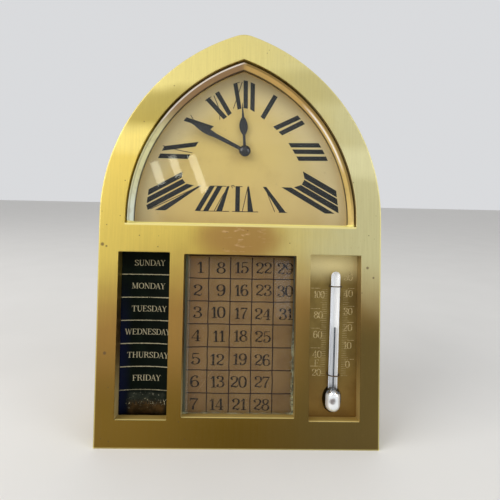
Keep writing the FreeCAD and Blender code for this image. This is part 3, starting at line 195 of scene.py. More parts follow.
# The studio light: a broad window of light high on the left, a weaker one on the right and one overhead,
# all soft, in a pale room that the brass can mirror.
def soft_light(name, place, aim, size, watts, colour, roll=0.0):
    """A soft oblong lamp that looks at a place. The camera doesn't see it, but brass and glass do."""
    data = bpy.data.lights.new(name, "AREA")
    data.shape = "RECTANGLE"
    data.size, data.size_y = size
    data.energy = watts
    data.color = colour
    lamp = bpy.data.objects.new(name, data)
    lamp.location = place
    lamp.visible_camera = False
    turn = (Vector(aim) - Vector(place)).to_track_quat("-Z", "Y").to_matrix()
    lamp.rotation_euler = (turn @ Matrix.Rotation(roll, 3, "Z")).to_euler()
    bpy.context.scene.collection.objects.link(lamp)


clock_middle = (0, 0, 0.1)
soft_light("window_left", (-0.95, -0.52, 0.75), clock_middle, (0.9, 0.9), 9.6, (1.0, 0.98, 0.94))
soft_light("window_right", (0.8, -0.5, 0.45), clock_middle, (0.4, 0.7), 2.5, (0.93, 0.97, 1.0))
soft_light("ceiling", (0.0, -0.75, 0.95), clock_middle, (1.7, 0.8), 1.25, (1.0, 1.0, 1.0))
# The glasses mirror three narrow strip lights high in front, and a small blue-white pane lower down.
strip_front, strip_wide, strip_roll = -0.655, 0.018, 0.42
for left, high, span, watts in (
    (-0.105, 0.402, 0.088, 0.034),
    (-0.158, 0.419, 0.050, 0.020),
    (-0.198, 0.401, 0.054, 0.022),
):
    place, aim = (left, strip_front, high), (left / 5, -0.018, 0.137)
    soft_light("strip_light", place, aim, (strip_wide, span), watts, (1.0, 0.95, 0.78), strip_roll)
pane_place, pane_aim = (0.097, -0.72, 0.145), (0.021, -0.029, 0.078)
soft_light("small_pane", pane_place, pane_aim, (0.034, 0.13), 0.017, (0.72, 0.84, 1.0))
room = bpy.data.worlds.new("pale_room")
room.use_nodes = True
room.node_tree.nodes.clear()
shade = Shade(room.node_tree)
direction = shade.node("TexCoord", {}, {}, "Generated")
height = shade.node("SeparateXYZ", {}, {0: direction}, "Z")
room_tones = [
    (0.0, (0.05, 0.04, 0.03)),
    (0.54, (0.07, 0.055, 0.04)),
    (0.66, (0.32, 0.30, 0.27)),
    (0.78, (0.72, 0.72, 0.71)),
    (1.0, (0.85, 0.86, 0.88)),
]
sky = height.node("ValToRGB", {"stops": room_tones}, {0: height * 0.5 + 0.5})
# The camera, the metal and the glass see one pale backdrop, and the room's own tones only light the clock.
seen = shade.node("LightPath", {}, {}, "Is Camera Ray") + shade.node("LightPath", {}, {}, "Is Glossy Ray")
seen = seen + shade.node("LightPath", {}, {}, "Is Transmission Ray")
backdrop = mix(seen, sky, (0.82, 0.83, 0.85))
background = shade.node("Background", {}, {"Color": backdrop, "Strength": 0.85})
shade.node("OutputWorld", {}, {"Surface": background})
bpy.context.scene.world = room


# The front plate: one thick sheet of cast brass, sawn out as a pointed arch with three windows, filed,
# rubbed to a satin face and never lacquered, with small dark pits. Its olive and brown are partly tarnish
# and partly painted reflection and shade.
def on_plate(shade):
    """Object coordinates turned to millimetres across, behind and up the leaning plate."""
    raw = shade.node("TexCoord", {}, {}, "Object")
    back = plate_turn.inverted()
    shift = hands_spot - back @ Vector(hands_joint["pos_m"]) * 1000
    turned = {"Vector": raw, "Location": shift, "Rotation": (lean, 0, 0), "Scale": (1000, 1000, 1000)}
    return shade.node("Mapping", {}, turned)


def axis(place, letter):
    """One coordinate of a place or of a direction."""
    return place.node("SeparateXYZ", {}, {0: place}, letter)


def unsigned(value):
    """The value without its sign."""
    return value.node("Math", {"operation": "ABSOLUTE"}, {0: value})


def between(value, low, high, soft):
    """1 between two levels and 0 outside them, with both ends as soft as asked."""
    return fade(value, low, low + soft) * fade(value, high, high - soft)


def spot_mask(place, point, radius):
    """1 inside a round spot of the plate and 0 outside it."""
    away = place.node("VectorMath", {"operation": "DISTANCE"}, {0: place, 1: point}, "Value")
    return fade(away, radius, radius * 0.4)


def rounded_edges(shade, radius):
    """The normal of a surface whose sharp edges are broken by that many millimetres."""
    return shade.node("Bevel", {"samples": 4}, {"Radius": radius / 1000})


def dress(material, *names):
    """Puts a material on CAD nodes."""
    for name in names:
        piece = nodes[name]
        if not piece.material_slots:
            piece.data.materials.append(material)
        for slot in piece.material_slots:
            slot.material = material


# The plate's outline: two arcs that meet at the tip, centred on the spring line across the middle.
spring_line = 113.4
arc_across = 27.3
arch_radius = 97.3
window_reach = 69.0
satin_brass, shade = bare_material("satin_brass")
place = on_plate(shade)
golden = (0.70, 0.53, 0.12)
pale_top = (0.75, 0.64, 0.235)
olive = (0.60, 0.57, 0.32)
cloud = mottle(place, 38.0, 3.0, 0.55)
patch = mottle(place, 14.0, 4.0, 0.6, shift=(31, 7, 4))
fine = mottle(place, 1.6, 3.0, 0.6)
rubbing = mottle(place, 0.22, 2.0, 0.6, stretch=(1, 1, 60))
brushing = mottle(place, 0.75, 3.0, 0.65, stretch=(1, 1, 30))
across = axis(place, "X")
up = axis(place, "Z")
off_middle = unsigned(across)
over_spring = up.node("Math", {"operation": "MAXIMUM"}, {0: up - spring_line, 1: 0.0})
to_rim = arch_radius - ((off_middle + arc_across) ** 2.0 + over_spring ** 2.0) ** 0.5
# The top of the arch is paler, a painted reflection. The right side goes olive, partly tarnish and partly
# painted reflection.
colour = mix(fade(up, 158.0, 182.0), golden, pale_top)
colour = mix(fade(across + (patch - 0.5) * 30.0, -10.0, 62.0) * 0.85, colour, olive)
# Painted reflection: a dark band high across the arch, stronger on the left, and a bright band below it.
dull = fade((up - across * 0.15 - 175.0 + (cloud - 0.5) * 14.0) ** 2.0, 150.0, 10.0)
bright_reflection_band = fade((up + across * 0.10 - 148.0 + (cloud - 0.5) * 10.0) ** 2.0, 110.0, 4.0)
colour = mix(dull * (0.35 + fade(across, 10.0, -20.0) * 0.45), colour, (0.36, 0.285, 0.075))
bright_reflection_tone = mix(fade(across, -10.0, 30.0), (0.86, 0.72, 0.24), (0.84, 0.79, 0.45))
colour = mix(bright_reflection_band * 0.55, colour, bright_reflection_tone)
# The lower half goes brown, darkest low down and in patches left and right: partly tarnish, partly painted
# shade.
tarnish_and_painted_shade = fade(up + off_middle * 0.33 + (cloud - 0.5) * 26.0, 119.0, 78.0)
brown = mix(fade(up, 62.0, 8.0), (0.36, 0.195, 0.052), (0.105, 0.054, 0.003))
brown = mix(fade(across, 5.0, -60.0) * fade(up, 40.0, 10.0) * 0.6, brown, (0.24, 0.135, 0.022))
brown = mix(fade(across, 8.0, 46.0) * fade(up, 92.0, 50.0), brown, (0.105, 0.062, 0.010))
colour = mix(tarnish_and_painted_shade * 0.93, colour, brown)
# A brown patch across the middle of the rail is a painted dark reflection.
dark_reflection_sockets = {"Vector": place, "Location": (-0.02, 0, -8.1), "Scale": (0.040, 0, 0.078)}
dark_reflection_place = place.node("Mapping", {}, dark_reflection_sockets)
dark_reflection_reach = dark_reflection_place.node("VectorMath", {"operation": "LENGTH"}, {0: dark_reflection_place}, "Value")
dark_reflection = fade(dark_reflection_reach + (cloud - 0.5) * 0.6, 1.15, 0.35)
colour = mix(dark_reflection * 0.8, colour, (0.31, 0.165, 0.045))
colour = mix(fade(fine, 0.58, 0.75) * 0.15, colour, (0.30, 0.20, 0.07))
streaks = fade(brushing, 0.35, 0.65)
colour = mix((1.0 - streaks) * 0.09, colour, (0.22, 0.15, 0.05))
# Painted light: a lighter streak along the rail, within the painted dark reflection.
rail_level = 103.0
rail = fade((up - rail_level) ** 2.0, 200.0, 60.0) * 0.4
colour = mix(rail * dark_reflection, colour, (0.48, 0.28, 0.09))
pit_spots = [
    (-68.0, 99.4, 0.75), (-66.0, 98.5, 0.45), (-65.5, 46.2, 0.7), (63.3, 89.9, 0.6), (66.3, 85.0, 0.45),
]
pits = sum(spot_mask(place, (x, 0, z), 1.6 * size) for x, z, size in pit_spots)
crumbs = place.node("TexVoronoi", {}, {"Vector": place, "Scale": 0.19}, "Distance")
pits = pits + fade(crumbs, 0.085, 0.03)
colour = mix(pits * 0.75, colour, (0.10, 0.06, 0.025))
scrape_field = mottle(place, 2.4, 3.0, 0.6, stretch=(2.4, 1, 0.8), shift=(4, 0, 9))
scrape_middle, scrape_radius = (1.0, 0, 104.5), 17.0
scrapes = fade(scrape_field, 0.56, 0.72) * spot_mask(place, scrape_middle, scrape_radius)
colour = mix(scrapes * 0.55, colour, (0.74, 0.50, 0.27))
# Painted highlight: the rim, the foot and a line under the dial's sill are lighter.
edge_highlight = fade(to_rim, 0.9, 0.35) + fade(up, 0.9, 0.4)
sill_edge = fade(up, 109.0, 109.5) * fade(up, 110.6, 110.3) * fade(off_middle, 57.7, 57.2)
colour = mix(edge_highlight * 0.6 + sill_edge * 0.9, colour, (0.87, 0.76, 0.30))
# The cut walls of the windows are duller than the face, and their colour holds painted light and shade.
facing = shade.node("TexCoord", {}, {}, "Normal")
depth = axis(place, "Y")
behind = fade(depth, 0.1, 0.5)
upward = fade(axis(facing, "Z"), 0.6, 0.9) * behind
in_window = behind * fade(off_middle, window_reach, window_reach - 1.0)
leftward = fade(axis(facing, "X"), -0.6, -0.9) * in_window
rightward = fade(axis(facing, "X"), 0.6, 0.9) * in_window * fade(up, 56.0, 22.0)
# Painted light on the sills near the front edge, and painted shade deeper in.
sill_painted_light_tone = mix(fade(depth, 2.0, 1.0), (0.42, 0.29, 0.08), (0.92, 0.78, 0.31))
# Painted shade on walls that face left, darker high up, and painted light low on walls that face right.
left_facing_painted_shade_tone = mix(fade(up, 50.0, 20.0), (0.27, 0.17, 0.05), (0.56, 0.41, 0.15))
colour = mix(upward, colour, sill_painted_light_tone)
colour = mix(leftward * 0.85, colour, left_facing_painted_shade_tone)
colour = mix(rightward * 0.8, colour, (0.60, 0.47, 0.20))
close_material(shade, {
    "Base Color": colour,
    "Metallic": 1.0 - pits * 0.5 - (upward + rightward) * 0.75 - (leftward + sill_edge) * 0.5,
    "Roughness": 0.30 + cloud * 0.10 + rubbing * 0.09 + pits * 0.3,
    "Normal": bumps(rubbing * 0.6 + fine * 0.4 - pits, 0.014, rounded_edges(shade, 0.6)),
})
dress(satin_brass, "front_frame")


# The dial's moulding: a drawn brass strip bent to the arch and pressed in, with a polished ridge. Its pale
# foot, ruddy tip and glints are painted reflection, its sill strip a painted highlight and its edge lines
# painted shadow.
def from_arc_middle(across, up):
    """How far a place on the plate is from the middle of its own side's arc."""
    return ((unsigned(across) + arc_across) ** 2.0 + (up - spring_line) ** 2.0) ** 0.5


moulding_brass, shade = bare_material("moulding_brass")
place = on_plate(shade)
across = axis(place, "X")
up = axis(place, "Z")
from_middle = from_arc_middle(across, up)
left_side = fade(across, 2.0, -2.0)
# Painted shadow: dark lines along the outer and inner edges.
edge_shadow_lines = fade(from_middle, 84.3, 84.7) + fade(from_middle, 81.8, 81.4)
outer_shade = fade(from_middle, 82.9, 83.3) * (1.0 - left_side) * fade(up, 112.0, 130.0)
left_glint = between(from_middle, 83.2, 84.0, 0.2) * fade(up, 158.0, 166.0) * left_side
right_glint = between(from_middle, 82.1, 82.9, 0.2) * (1.0 - left_side)
right_glint = right_glint * fade(up, 136.0, 146.0) * fade(up, 174.0, 166.0)
reflection_line = between(from_middle, 83.0, 83.8, 0.2) * fade(up, 168.0, 150.0) * left_side
# Painted reflection: pale and bluish white at the left foot, ruddy at the tip, and a darker line on the left.
tip_reflection_fade = fade(up, 152.0, 172.0)
foot_reflection_fade = fade(up, 138.0, 112.0)
pale_reflection_tone = mix(left_side, (0.70, 0.50, 0.17), (0.84, 0.82, 0.47))
ruddy_reflection_tone = mix(left_side, (0.62, 0.40, 0.13), (0.36, 0.22, 0.11))
colour = mix(tip_reflection_fade, pale_reflection_tone, ruddy_reflection_tone)
colour = mix(foot_reflection_fade * 0.8, colour, mix(left_side, (0.76, 0.56, 0.20), (0.82, 0.92, 0.90)))
colour = mix(fade(mottle(place, 5.0, 3.0), 0.45, 0.7) * 0.3, colour, (0.40, 0.31, 0.12))
colour = mix(reflection_line * 0.6, colour, (0.36, 0.34, 0.17))
colour = mix(outer_shade * 0.8, colour, (0.20, 0.125, 0.035))
colour = mix(left_glint + right_glint, colour, (0.93, 0.84, 0.76))
colour = mix(edge_shadow_lines * 0.9, colour, (0.04, 0.03, 0.018))
# Painted highlight: a bright strip across the sill.
sill_strip_top = 111.7
sill_highlight = fade(up, sill_strip_top, sill_strip_top - 0.4)
colour = mix(sill_highlight, colour, (0.90, 0.82, 0.28))
close_material(shade, {
    "Base Color": colour,
    "Metallic": 0.75 - sill_highlight * 0.5 - (left_glint + right_glint) * 0.6 - foot_reflection_fade * left_side * 0.35,
    "Roughness": 0.28 + mottle(place, 3.0, 3.0) * 0.12 + sill_highlight * 0.3,
    "Normal": bumps(mottle(place, 1.4, 3.0), 0.01, rounded_edges(shade, 0.15)),
})
dress(moulding_brass, "dial_bezel")


# The dial: a thin brass plate with a matt gilt face, which lies behind the spacer ring. It is spotted with
# age, and painted paler round its rim against the shade of its recess.
gilt_dial, shade = bare_material("gilt_dial")
place = on_plate(shade)
up = axis(place, "Z")
tarnish = fade(mottle(place, 16.0, 4.0, 0.6), 0.42, 0.75)
colour = mix(tarnish, (0.74, 0.565, 0.185), (0.65, 0.48, 0.155))
# Painted shade: the right side is greyer.
colour = mix(fade(axis(place, "X"), 0.0, 50.0) * 0.6, colour, (0.62, 0.53, 0.27))
colour = mix(fade(up, 150.0, 116.0) * 0.35, colour, (0.64, 0.45, 0.18))
colour = mix(fade(mottle(place, 0.9, 3.0, 0.6), 0.62, 0.78) * 0.25, colour, (0.36, 0.24, 0.12))
# Painted light: paler round the rim, against the shade of the recess.
colour = mix(fade(from_arc_middle(axis(place, "X"), up), 64.0, 80.0) * 0.8, colour, (0.92, 0.78, 0.42))
specks = place.node("TexVoronoi", {}, {"Vector": place, "Scale": 0.22}, "Distance")
colour = mix(fade(specks, 0.07, 0.03) * 0.6, colour, (0.16, 0.10, 0.06))
close_material(shade, {
    "Base Color": colour,
    "Metallic": 0.25,
    "Roughness": 0.52 + tarnish * 0.12,
    "Specular IOR Level": 0.3,
    "Normal": bumps(mottle(place, 0.35, 2.0), 0.006),
})
dress(gilt_dial, "dial_plate")


# The numerals: thick black strokes printed on the dial with fine pen hairlines. Their feet follow
# a rounded arch round the hands and their heads the moulding, so the corner ones are long and slanted.
def strip(mesh, left, right, front, back):
    """A thin solid between two edges drawn on the plate, each a list of (across, up)."""
    rings = [
        [mesh.verts.new((x, y, z)) for (x, z), y in ((a, front), (b, front), (b, back), (a, back))]
        for a, b in zip(left, right)
    ]
    for low, high in zip(rings, rings[1:]):
        for k in range(4):
            mesh.faces.new((low[k], low[(k + 1) % 4], high[(k + 1) % 4], high[k]))
    mesh.faces.new(rings[0][::-1])
    mesh.faces.new(rings[-1])


def drawn_piece(name, mesh, material, body="root"):
    """Closes a mesh drawn in the plate's millimetres, carries it to its place and fixes it to a body."""
    bmesh.ops.recalc_face_normals(mesh, faces=mesh.faces)
    data = bpy.data.meshes.new(name)
    mesh.to_mesh(data)
    mesh.free()
    return placed_piece(name, data, material, body)


def placed_piece(name, data, material, body="root"):
    """Carries a mesh from the plate's millimetres to its place and fixes it to a body."""
    data.transform(plate_matrix)
    data.update()
    if not data.materials:
        data.materials.append(material)
    piece = bpy.data.objects.new(name, data)
    bpy.context.scene.collection.objects.link(piece)
    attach(piece, body)
    return piece


def cut_line(point, way, curve):
    """Where a line through a point crosses a curve, a list of points, at the place nearest to that point."""
    hits = []
    for (ax, az), (bx, bz) in zip(curve, curve[1:]):
        ex, ez = bx - ax, bz - az
        under = way[0] * ez - way[1] * ex
        if abs(under) < 1e-9:
            continue
        along = ((ax - point[0]) * ez - (az - point[1]) * ex) / under
        part = ((ax - point[0]) * way[1] - (az - point[1]) * way[0]) / under
        if -1e-6 <= part <= 1 + 1e-6:
            hits.append(along)
    best = min(hits, key=abs)
    return point[0] + way[0] * best, point[1] + way[1] * best


dial_front = 12.0
print_lift, print_sink = 0.03, 0.01
ring_middle = 0.6
numeral_top, numeral_foot = 188.9, 118.2
head_ring, head_growth = 79.4, 0.9
corner_reach, corner_slope = 51.0, 0.12
foot_half = [
    (0.0, 173.7), (3.2, 173.0), (6.4, 171.0), (9.2, 168.7), (15.5, 164.0), (20.2, 159.5), (23.7, 155.4),
    (27.2, 149.8), (30.0, 144.8), (32.0, 139.5), (32.6, 136.3), (31.6, 133.7), (29.2, 132.1),
    (26.0, 131.7), (0.0, 131.7),
]
head_half = []
for step in range(25):
    level = numeral_top - (numeral_top - numeral_foot) * step / 24
    ring = head_ring + head_growth * min(1.0, max(0.0, (level - 165.0) / 15.0))
    half_chord = math.sqrt(max(0.0, ring**2 - (level - spring_line) ** 2))
    head_half.append((max(0.0, half_chord - arc_across), level))
head_half = [(min(x, corner_reach - (z - numeral_foot) * corner_slope), z) for x, z in head_half]
head_half.append((0.0, numeral_foot))
foot_curve, head_curve = [
    [(ring_middle - x, z) for x, z in half[::-1]] + [(ring_middle + x, z) for x, z in half]
    for half in (foot_half, head_half)
]
# Each thick stroke is a place near its head, one near its foot, and its width or its widths there.
thick_strokes = [
    ((-4.6, 187.0), (-2.1, 173.4), 2.2), ((1.0, 188.4), (1.2, 173.6), 2.3),
    ((4.8, 186.7), (4.8, 172.0), 2.35), ((16.6, 179.8), (10.2, 168.4), 2.5),
    ((29.7, 169.4), (17.5, 163.4), 2.5), ((32.1, 166.8), (19.6, 160.2), 2.5),
    ((41.2, 154.6), (25.4, 154.3), 2.35), ((42.7, 151.1), (27.5, 150.9), 2.35),
    ((44.7, 147.5), (30.1, 147.2), 2.35), ((51.2, 128.2), (33.3, 138.2), 2.9),
    ((51.2, 124.2), (32.0, 134.9), 2.9), ((51.2, 120.3), (28.0, 133.3), 2.9),
    ((46.9, 118.2), (23.2, 131.9), 2.6), ((21.9, 118.2), (12.0, 131.7), 2.7, 1.5),
    ((4.7, 118.2), (3.3, 131.7), 3.0, 0.9), ((-2.2, 118.2), (-2.2, 131.7), 2.4),
    ((-11.9, 118.2), (-7.2, 131.7), 3.0, 1.1), ((-19.0, 118.2), (-11.6, 131.7), 2.4),
    ((-23.3, 118.2), (-15.7, 131.7), 2.4), ((-42.8, 118.2), (-22.0, 131.7), 3.1, 0.7),
    ((-50.2, 119.2), (-27.5, 132.0), 2.6), ((-50.2, 123.1), (-31.0, 133.8), 2.6),
    ((-49.8, 127.2), (-32.3, 137.0), 2.6), ((-43.9, 147.0), (-28.8, 146.9), 2.5),
    ((-41.9, 151.0), (-24.6, 153.6), 2.3), ((-30.9, 167.0), (-16.6, 162.6), 2.3),
    ((-18.9, 177.9), (-9.9, 168.4), 2.4), ((-13.9, 181.2), (-7.3, 170.3), 2.4),
]
mesh = bmesh.new()
for head, foot, *widths in thick_strokes:
    head, foot = Vector(head), Vector(foot)
    way = head - foot
    side = Vector((-way.y, way.x)).normalized() / 2
    at_head, at_foot = side * widths[0], side * widths[-1]
    left = [cut_line(head + at_head, way, head_curve), cut_line(foot + at_foot, way, foot_curve)]
    right = [cut_line(head - at_head, way, head_curve), cut_line(foot - at_foot, way, foot_curve)]
    strip(mesh, left, right, dial_front - print_lift, dial_front + print_sink)
dial_ink, shade = bare_material("dial_ink")
place = on_plate(shade)
rubbed = fade(mottle(place, 1.1, 4.0, 0.7), 0.66, 0.76)
close_material(shade, {
    "Base Color": mix(rubbed * 0.7, (0.008, 0.009, 0.009), (0.42, 0.30, 0.14)),
    "Roughness": 0.5 + rubbed * 0.2,
    "Specular IOR Level": 0.15,
    "Normal": bumps(mottle(place, 0.4, 2.0), 0.004),
})
drawn_piece("dial_numerals", mesh, dial_ink)

hairline_width = 0.4
hairlines = [
    [(-0.9, 187.6), (-5.3, 173.2)], [(-12.4, 167.0), (-12.9, 172.5), (-15.8, 179.9)],
    [(-27.9, 169.2), (-25.6, 165.6), (-21.5, 161.4)], [(-42.2, 152.4), (-33.5, 150.2), (-26.6, 149.0)],
    [(12.4, 131.2), (14.6, 125.5), (17.6, 118.5)], [(3.0, 131.0), (0.4, 118.4)],
    [(-7.0, 131.2), (-10.2, 126.5), (-14.4, 118.5)], [(-22.4, 131.4), (-33.0, 126.2), (-48.0, 118.7)],
    [(-5.0, 118.3), (8.8, 118.3)], [(-3.3, 131.6), (0.3, 131.6)], [(-22.4, 118.3), (-6.6, 118.3)],
    [(-15.6, 131.6), (-8.2, 131.6)], [(19.6, 118.3), (24.0, 118.3)],
    [(-4.9, 131.0), (-5.6, 131.8), (-4.5, 132.1), (-4.0, 131.3)], [(-5.6, 186.4), (-2.2, 187.5)],
    [(-20.4, 176.8), (-17.2, 179.3)],
]


def smooth_path(points, steps=6):
    """Points along a smooth curve through the given ones, straight if there are only two."""
    if len(points) < 3:
        return [Vector(p) for p in points]
    spots = [Vector(p) for p in points]
    spots = [spots[0] * 2 - spots[1], *spots, spots[-1] * 2 - spots[-2]]
    path = []
    for a, b, c, d in zip(spots, spots[1:], spots[2:], spots[3:]):
        for k in range(steps):
            t = k / steps
            square, cube = 2 * a - 5 * b + 4 * c - d, 3 * b - a - 3 * c + d
            path.append(0.5 * ((2 * b) + (c - a) * t + square * t * t + cube * t**3))
    return path + [Vector(points[-1])]


def pen_stroke(mesh, points, width, front, back):
    """A stroke of ink along points on the plate. Its width goes by the share of the way and the direction."""
    path = smooth_path(points)
    left, right = [], []
    for i, here in enumerate(path):
        way = (path[min(i + 1, len(path) - 1)] - path[max(i - 1, 0)]).normalized()
        side = Vector((-way.y, way.x)) * width(i / (len(path) - 1), way) / 2
        left.append(here + side)
        right.append(here - side)
    strip(mesh, left, right, front, back)


mesh = bmesh.new()
hairline_front = dial_front - print_lift * 0.7
for line in hairlines:
    pen_stroke(mesh, line, lambda share, way: hairline_width, hairline_front, dial_front + print_sink)
hairline_ink, shade = bare_material("hairline_ink")
place = on_plate(shade)
faded = fade(mottle(place, 1.5, 3.0), 0.4, 0.7)
close_material(shade, {
    "Base Color": mix(faded, (0.04, 0.02, 0.012), (0.11, 0.055, 0.022)),
    "Roughness": 0.5,
    "Specular IOR Level": 0.2,
})
drawn_piece("dial_hairlines", mesh, hairline_ink)


# The dial glass: a flat pane cut to the arch and held behind the moulding. It mirrors a little more
# at a slant, and carries the finest haze of dust.
def glass_mirror(shade):
    """The share of light that a glass surface mirrors: little square on, and more at a slant."""
    slant = shade.node("LayerWeight", {}, {"Blend": 0.5}, "Facing")
    return slant ** 5.0 * 0.96 + 0.04


def pane_material(name, tint, haze, size):
    """Thin clear glass: what it mirrors is opaque and the rest lets the view through."""
    material, shade = bare_material(name)
    place = on_plate(shade)
    dust = fade(mottle(place, size, 4.0, 0.6), 0.45, 0.8)
    mirror = glass_mirror(shade)
    sockets = {
        "Base Color": mix(dust * 0.3, tint, (0.7, 0.7, 0.68)),
        "Metallic": 1.0,
        "Roughness": 0.03 + dust * 0.05,
        "Alpha": mirror + dust * haze,
    }
    close_material(shade, sockets)
    return material


dress(pane_material("dial_pane", (0.42, 0.44, 0.43), 0.01, 18.0), "dial_glass")


# The hands: pear-shaped leaves of steel on thin stems, blacked, under a black domed boss that hides
# the end of the arbor.
blacked_steel, shade = bare_material("blacked_steel")
place = on_plate(shade)
wear = fade(mottle(place, 1.2, 3.0), 0.5, 0.75)
close_material(shade, {
    "Base Color": mix(wear, (0.004, 0.005, 0.007), (0.02, 0.023, 0.03)),
    "Metallic": 0.2,
    "Roughness": 0.34 + wear * 0.1,
    "Specular IOR Level": 0.3,
    "Normal": bumps(mottle(place, 0.5, 2.0), 0.004, rounded_edges(shade, 0.12)),
    "Coat Weight": 0.12,
    "Coat Roughness": 0.2,
})
dress(blacked_steel, "hour_hand", "minute_hand")
black_boss, shade = bare_material("black_boss")
place = on_plate(shade)
wear = fade(mottle(place, 0.9, 3.0), 0.55, 0.8)
close_material(shade, {
    "Base Color": mix(wear, (0.004, 0.004, 0.006), (0.015, 0.015, 0.02)),
    "Roughness": 0.16,
    "Specular IOR Level": 0.3,
    "Coat Weight": 0.5,
    "Coat Roughness": 0.05,
})
dress(black_boss, "hand_cap")


# The weekday band: an endless strip of oiled black-green cloth, printed in cream. It is stretched over
# two waisted wooden rollers, so it is dished across its width and faintly rippled between them.
band_middle = -47.5
band_half = 13.3
band_axis = 15.0
band_waist = 6.0
band_dish = 2.0
band_low, band_high = 17.2, 99.5
band_thick = 0.3
across_steps, run_steps, turn_steps = 30, 110, 20


band_run = band_high - band_low
band_lap = math.pi * band_waist
band_length = 2 * band_run + 2 * band_lap
ripple_depth = 0.05


def band_face(u, way):
    """A point of the band's face: u is -1 to 1 across it, and way is how far round it is from the foot."""
    radius = band_waist + band_dish * u * u
    x = band_middle + u * band_half
    if way < band_run:
        ripple = ripple_depth * math.sin(0.31 * way + 1.3 * u) * (1 - (2 * way / band_run - 1) ** 8)
        return Vector((x, band_axis - radius - abs(ripple), band_low + way))
    if way < band_run + band_lap:
        turn = math.pi * (way - band_run) / band_lap
        return Vector((x, band_axis - radius * math.cos(turn), band_high + radius * math.sin(turn)))
    if way < 2 * band_run + band_lap:
        return Vector((x, band_axis + radius, band_high - (way - band_run - band_lap)))
    turn = math.pi * (way - 2 * band_run - band_lap) / band_lap
    return Vector((x, band_axis + radius * math.cos(turn), band_low - radius * math.sin(turn)))


ways = [band_run * i / run_steps for i in range(run_steps)]
ways += [band_run + band_lap * i / turn_steps for i in range(turn_steps)]
ways += [band_run + band_lap + band_run * i / (run_steps // 2) for i in range(run_steps // 2)]
ways += [2 * band_run + band_lap * (1 + i / turn_steps) for i in range(turn_steps)]
mesh = bmesh.new()
uv = mesh.loops.layers.uv.new("cloth")
shares = [2 * k / across_steps - 1 for k in range(across_steps + 1)]
columns = [[mesh.verts.new(band_face(u, way)) for u in shares] for way in ways]
for i, column in enumerate(columns):
    following = columns[(i + 1) % len(columns)]
    way = ways[i]
    next_way = ways[i + 1] if i + 1 < len(ways) else band_length
    for k in range(across_steps):
        face = mesh.faces.new((column[k], column[k + 1], following[k + 1], following[k]))
        face.smooth = True
        corners = ((k, way), (k + 1, way), (k + 1, next_way), (k, next_way))
        for loop, (step, along) in zip(face.loops, corners):
            loop[uv].uv = (step / across_steps * 2 * band_half, along)
band_data = bpy.data.meshes.new("weekday_cloth")
mesh.to_mesh(band_data)
mesh.free()
oiled_cloth, shade = bare_material("oiled_cloth")
weave_place = shade.node("UVMap", {"uv_map": "cloth"}, {})
place = on_plate(shade)
threads, wefts = [
    weave_place.node(
        "TexWave", {"wave_type": "BANDS", "bands_direction": way},
        {"Vector": weave_place, "Scale": 0.9, "Distortion": 0.6},
    )
    for way in "XY"
]
dust = fade(mottle(place, 4.0, 4.0, 0.6), 0.5, 0.8)
up_band = axis(place, "Z")
worn_middle = fade(up_band, 25.6, 23.2) * fade((axis(place, "X") + 46.5) ** 2.0, 110.0, 55.0)
worn = worn_middle * (0.4 + fade(mottle(place, 5.0, 4.0, 0.6), 0.40, 0.68) * 0.6)
bald = worn_middle * fade(mottle(place, 1.3, 3.0, 0.6), 0.60, 0.70)
colour = mix(fade(mottle(place, 9.0, 3.0), 0.35, 0.7), (0.0016, 0.0034, 0.0018), (0.0035, 0.0068, 0.0040))
colour = mix(dust * 0.3, colour, (0.010, 0.012, 0.008))
# Painted reflection: a blue sheen along the band's left edge.
painted_blue_sheen = fade(axis(place, "X"), -54.0, -59.5) * fade(up_band, 88.0, 50.0)
colour = mix(painted_blue_sheen * 0.8, colour, (0.004, 0.006, 0.026))
worn_tone = mix(fade(up_band, 21.5, 18.0), (0.040, 0.046, 0.034), (0.105, 0.058, 0.020))
colour = mix(worn * 0.8, colour, worn_tone)
colour = mix(bald * 0.5, colour, (0.26, 0.25, 0.19))
close_material(shade, {
    "Base Color": colour,
    "Roughness": 0.52 + dust * 0.2,
    "Specular IOR Level": 0.04,
    "Normal": bumps(threads + wefts, 0.02, bumps(mottle(place, 7.0, 2.0), 0.12)),
})
band = placed_piece("weekday_cloth", band_data, oiled_cloth, "root")
wall = band.modifiers.new("thickness", "SOLIDIFY")
wall.thickness = band_thick / 1000
wall.offset = -1.0
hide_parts("weekday_band")


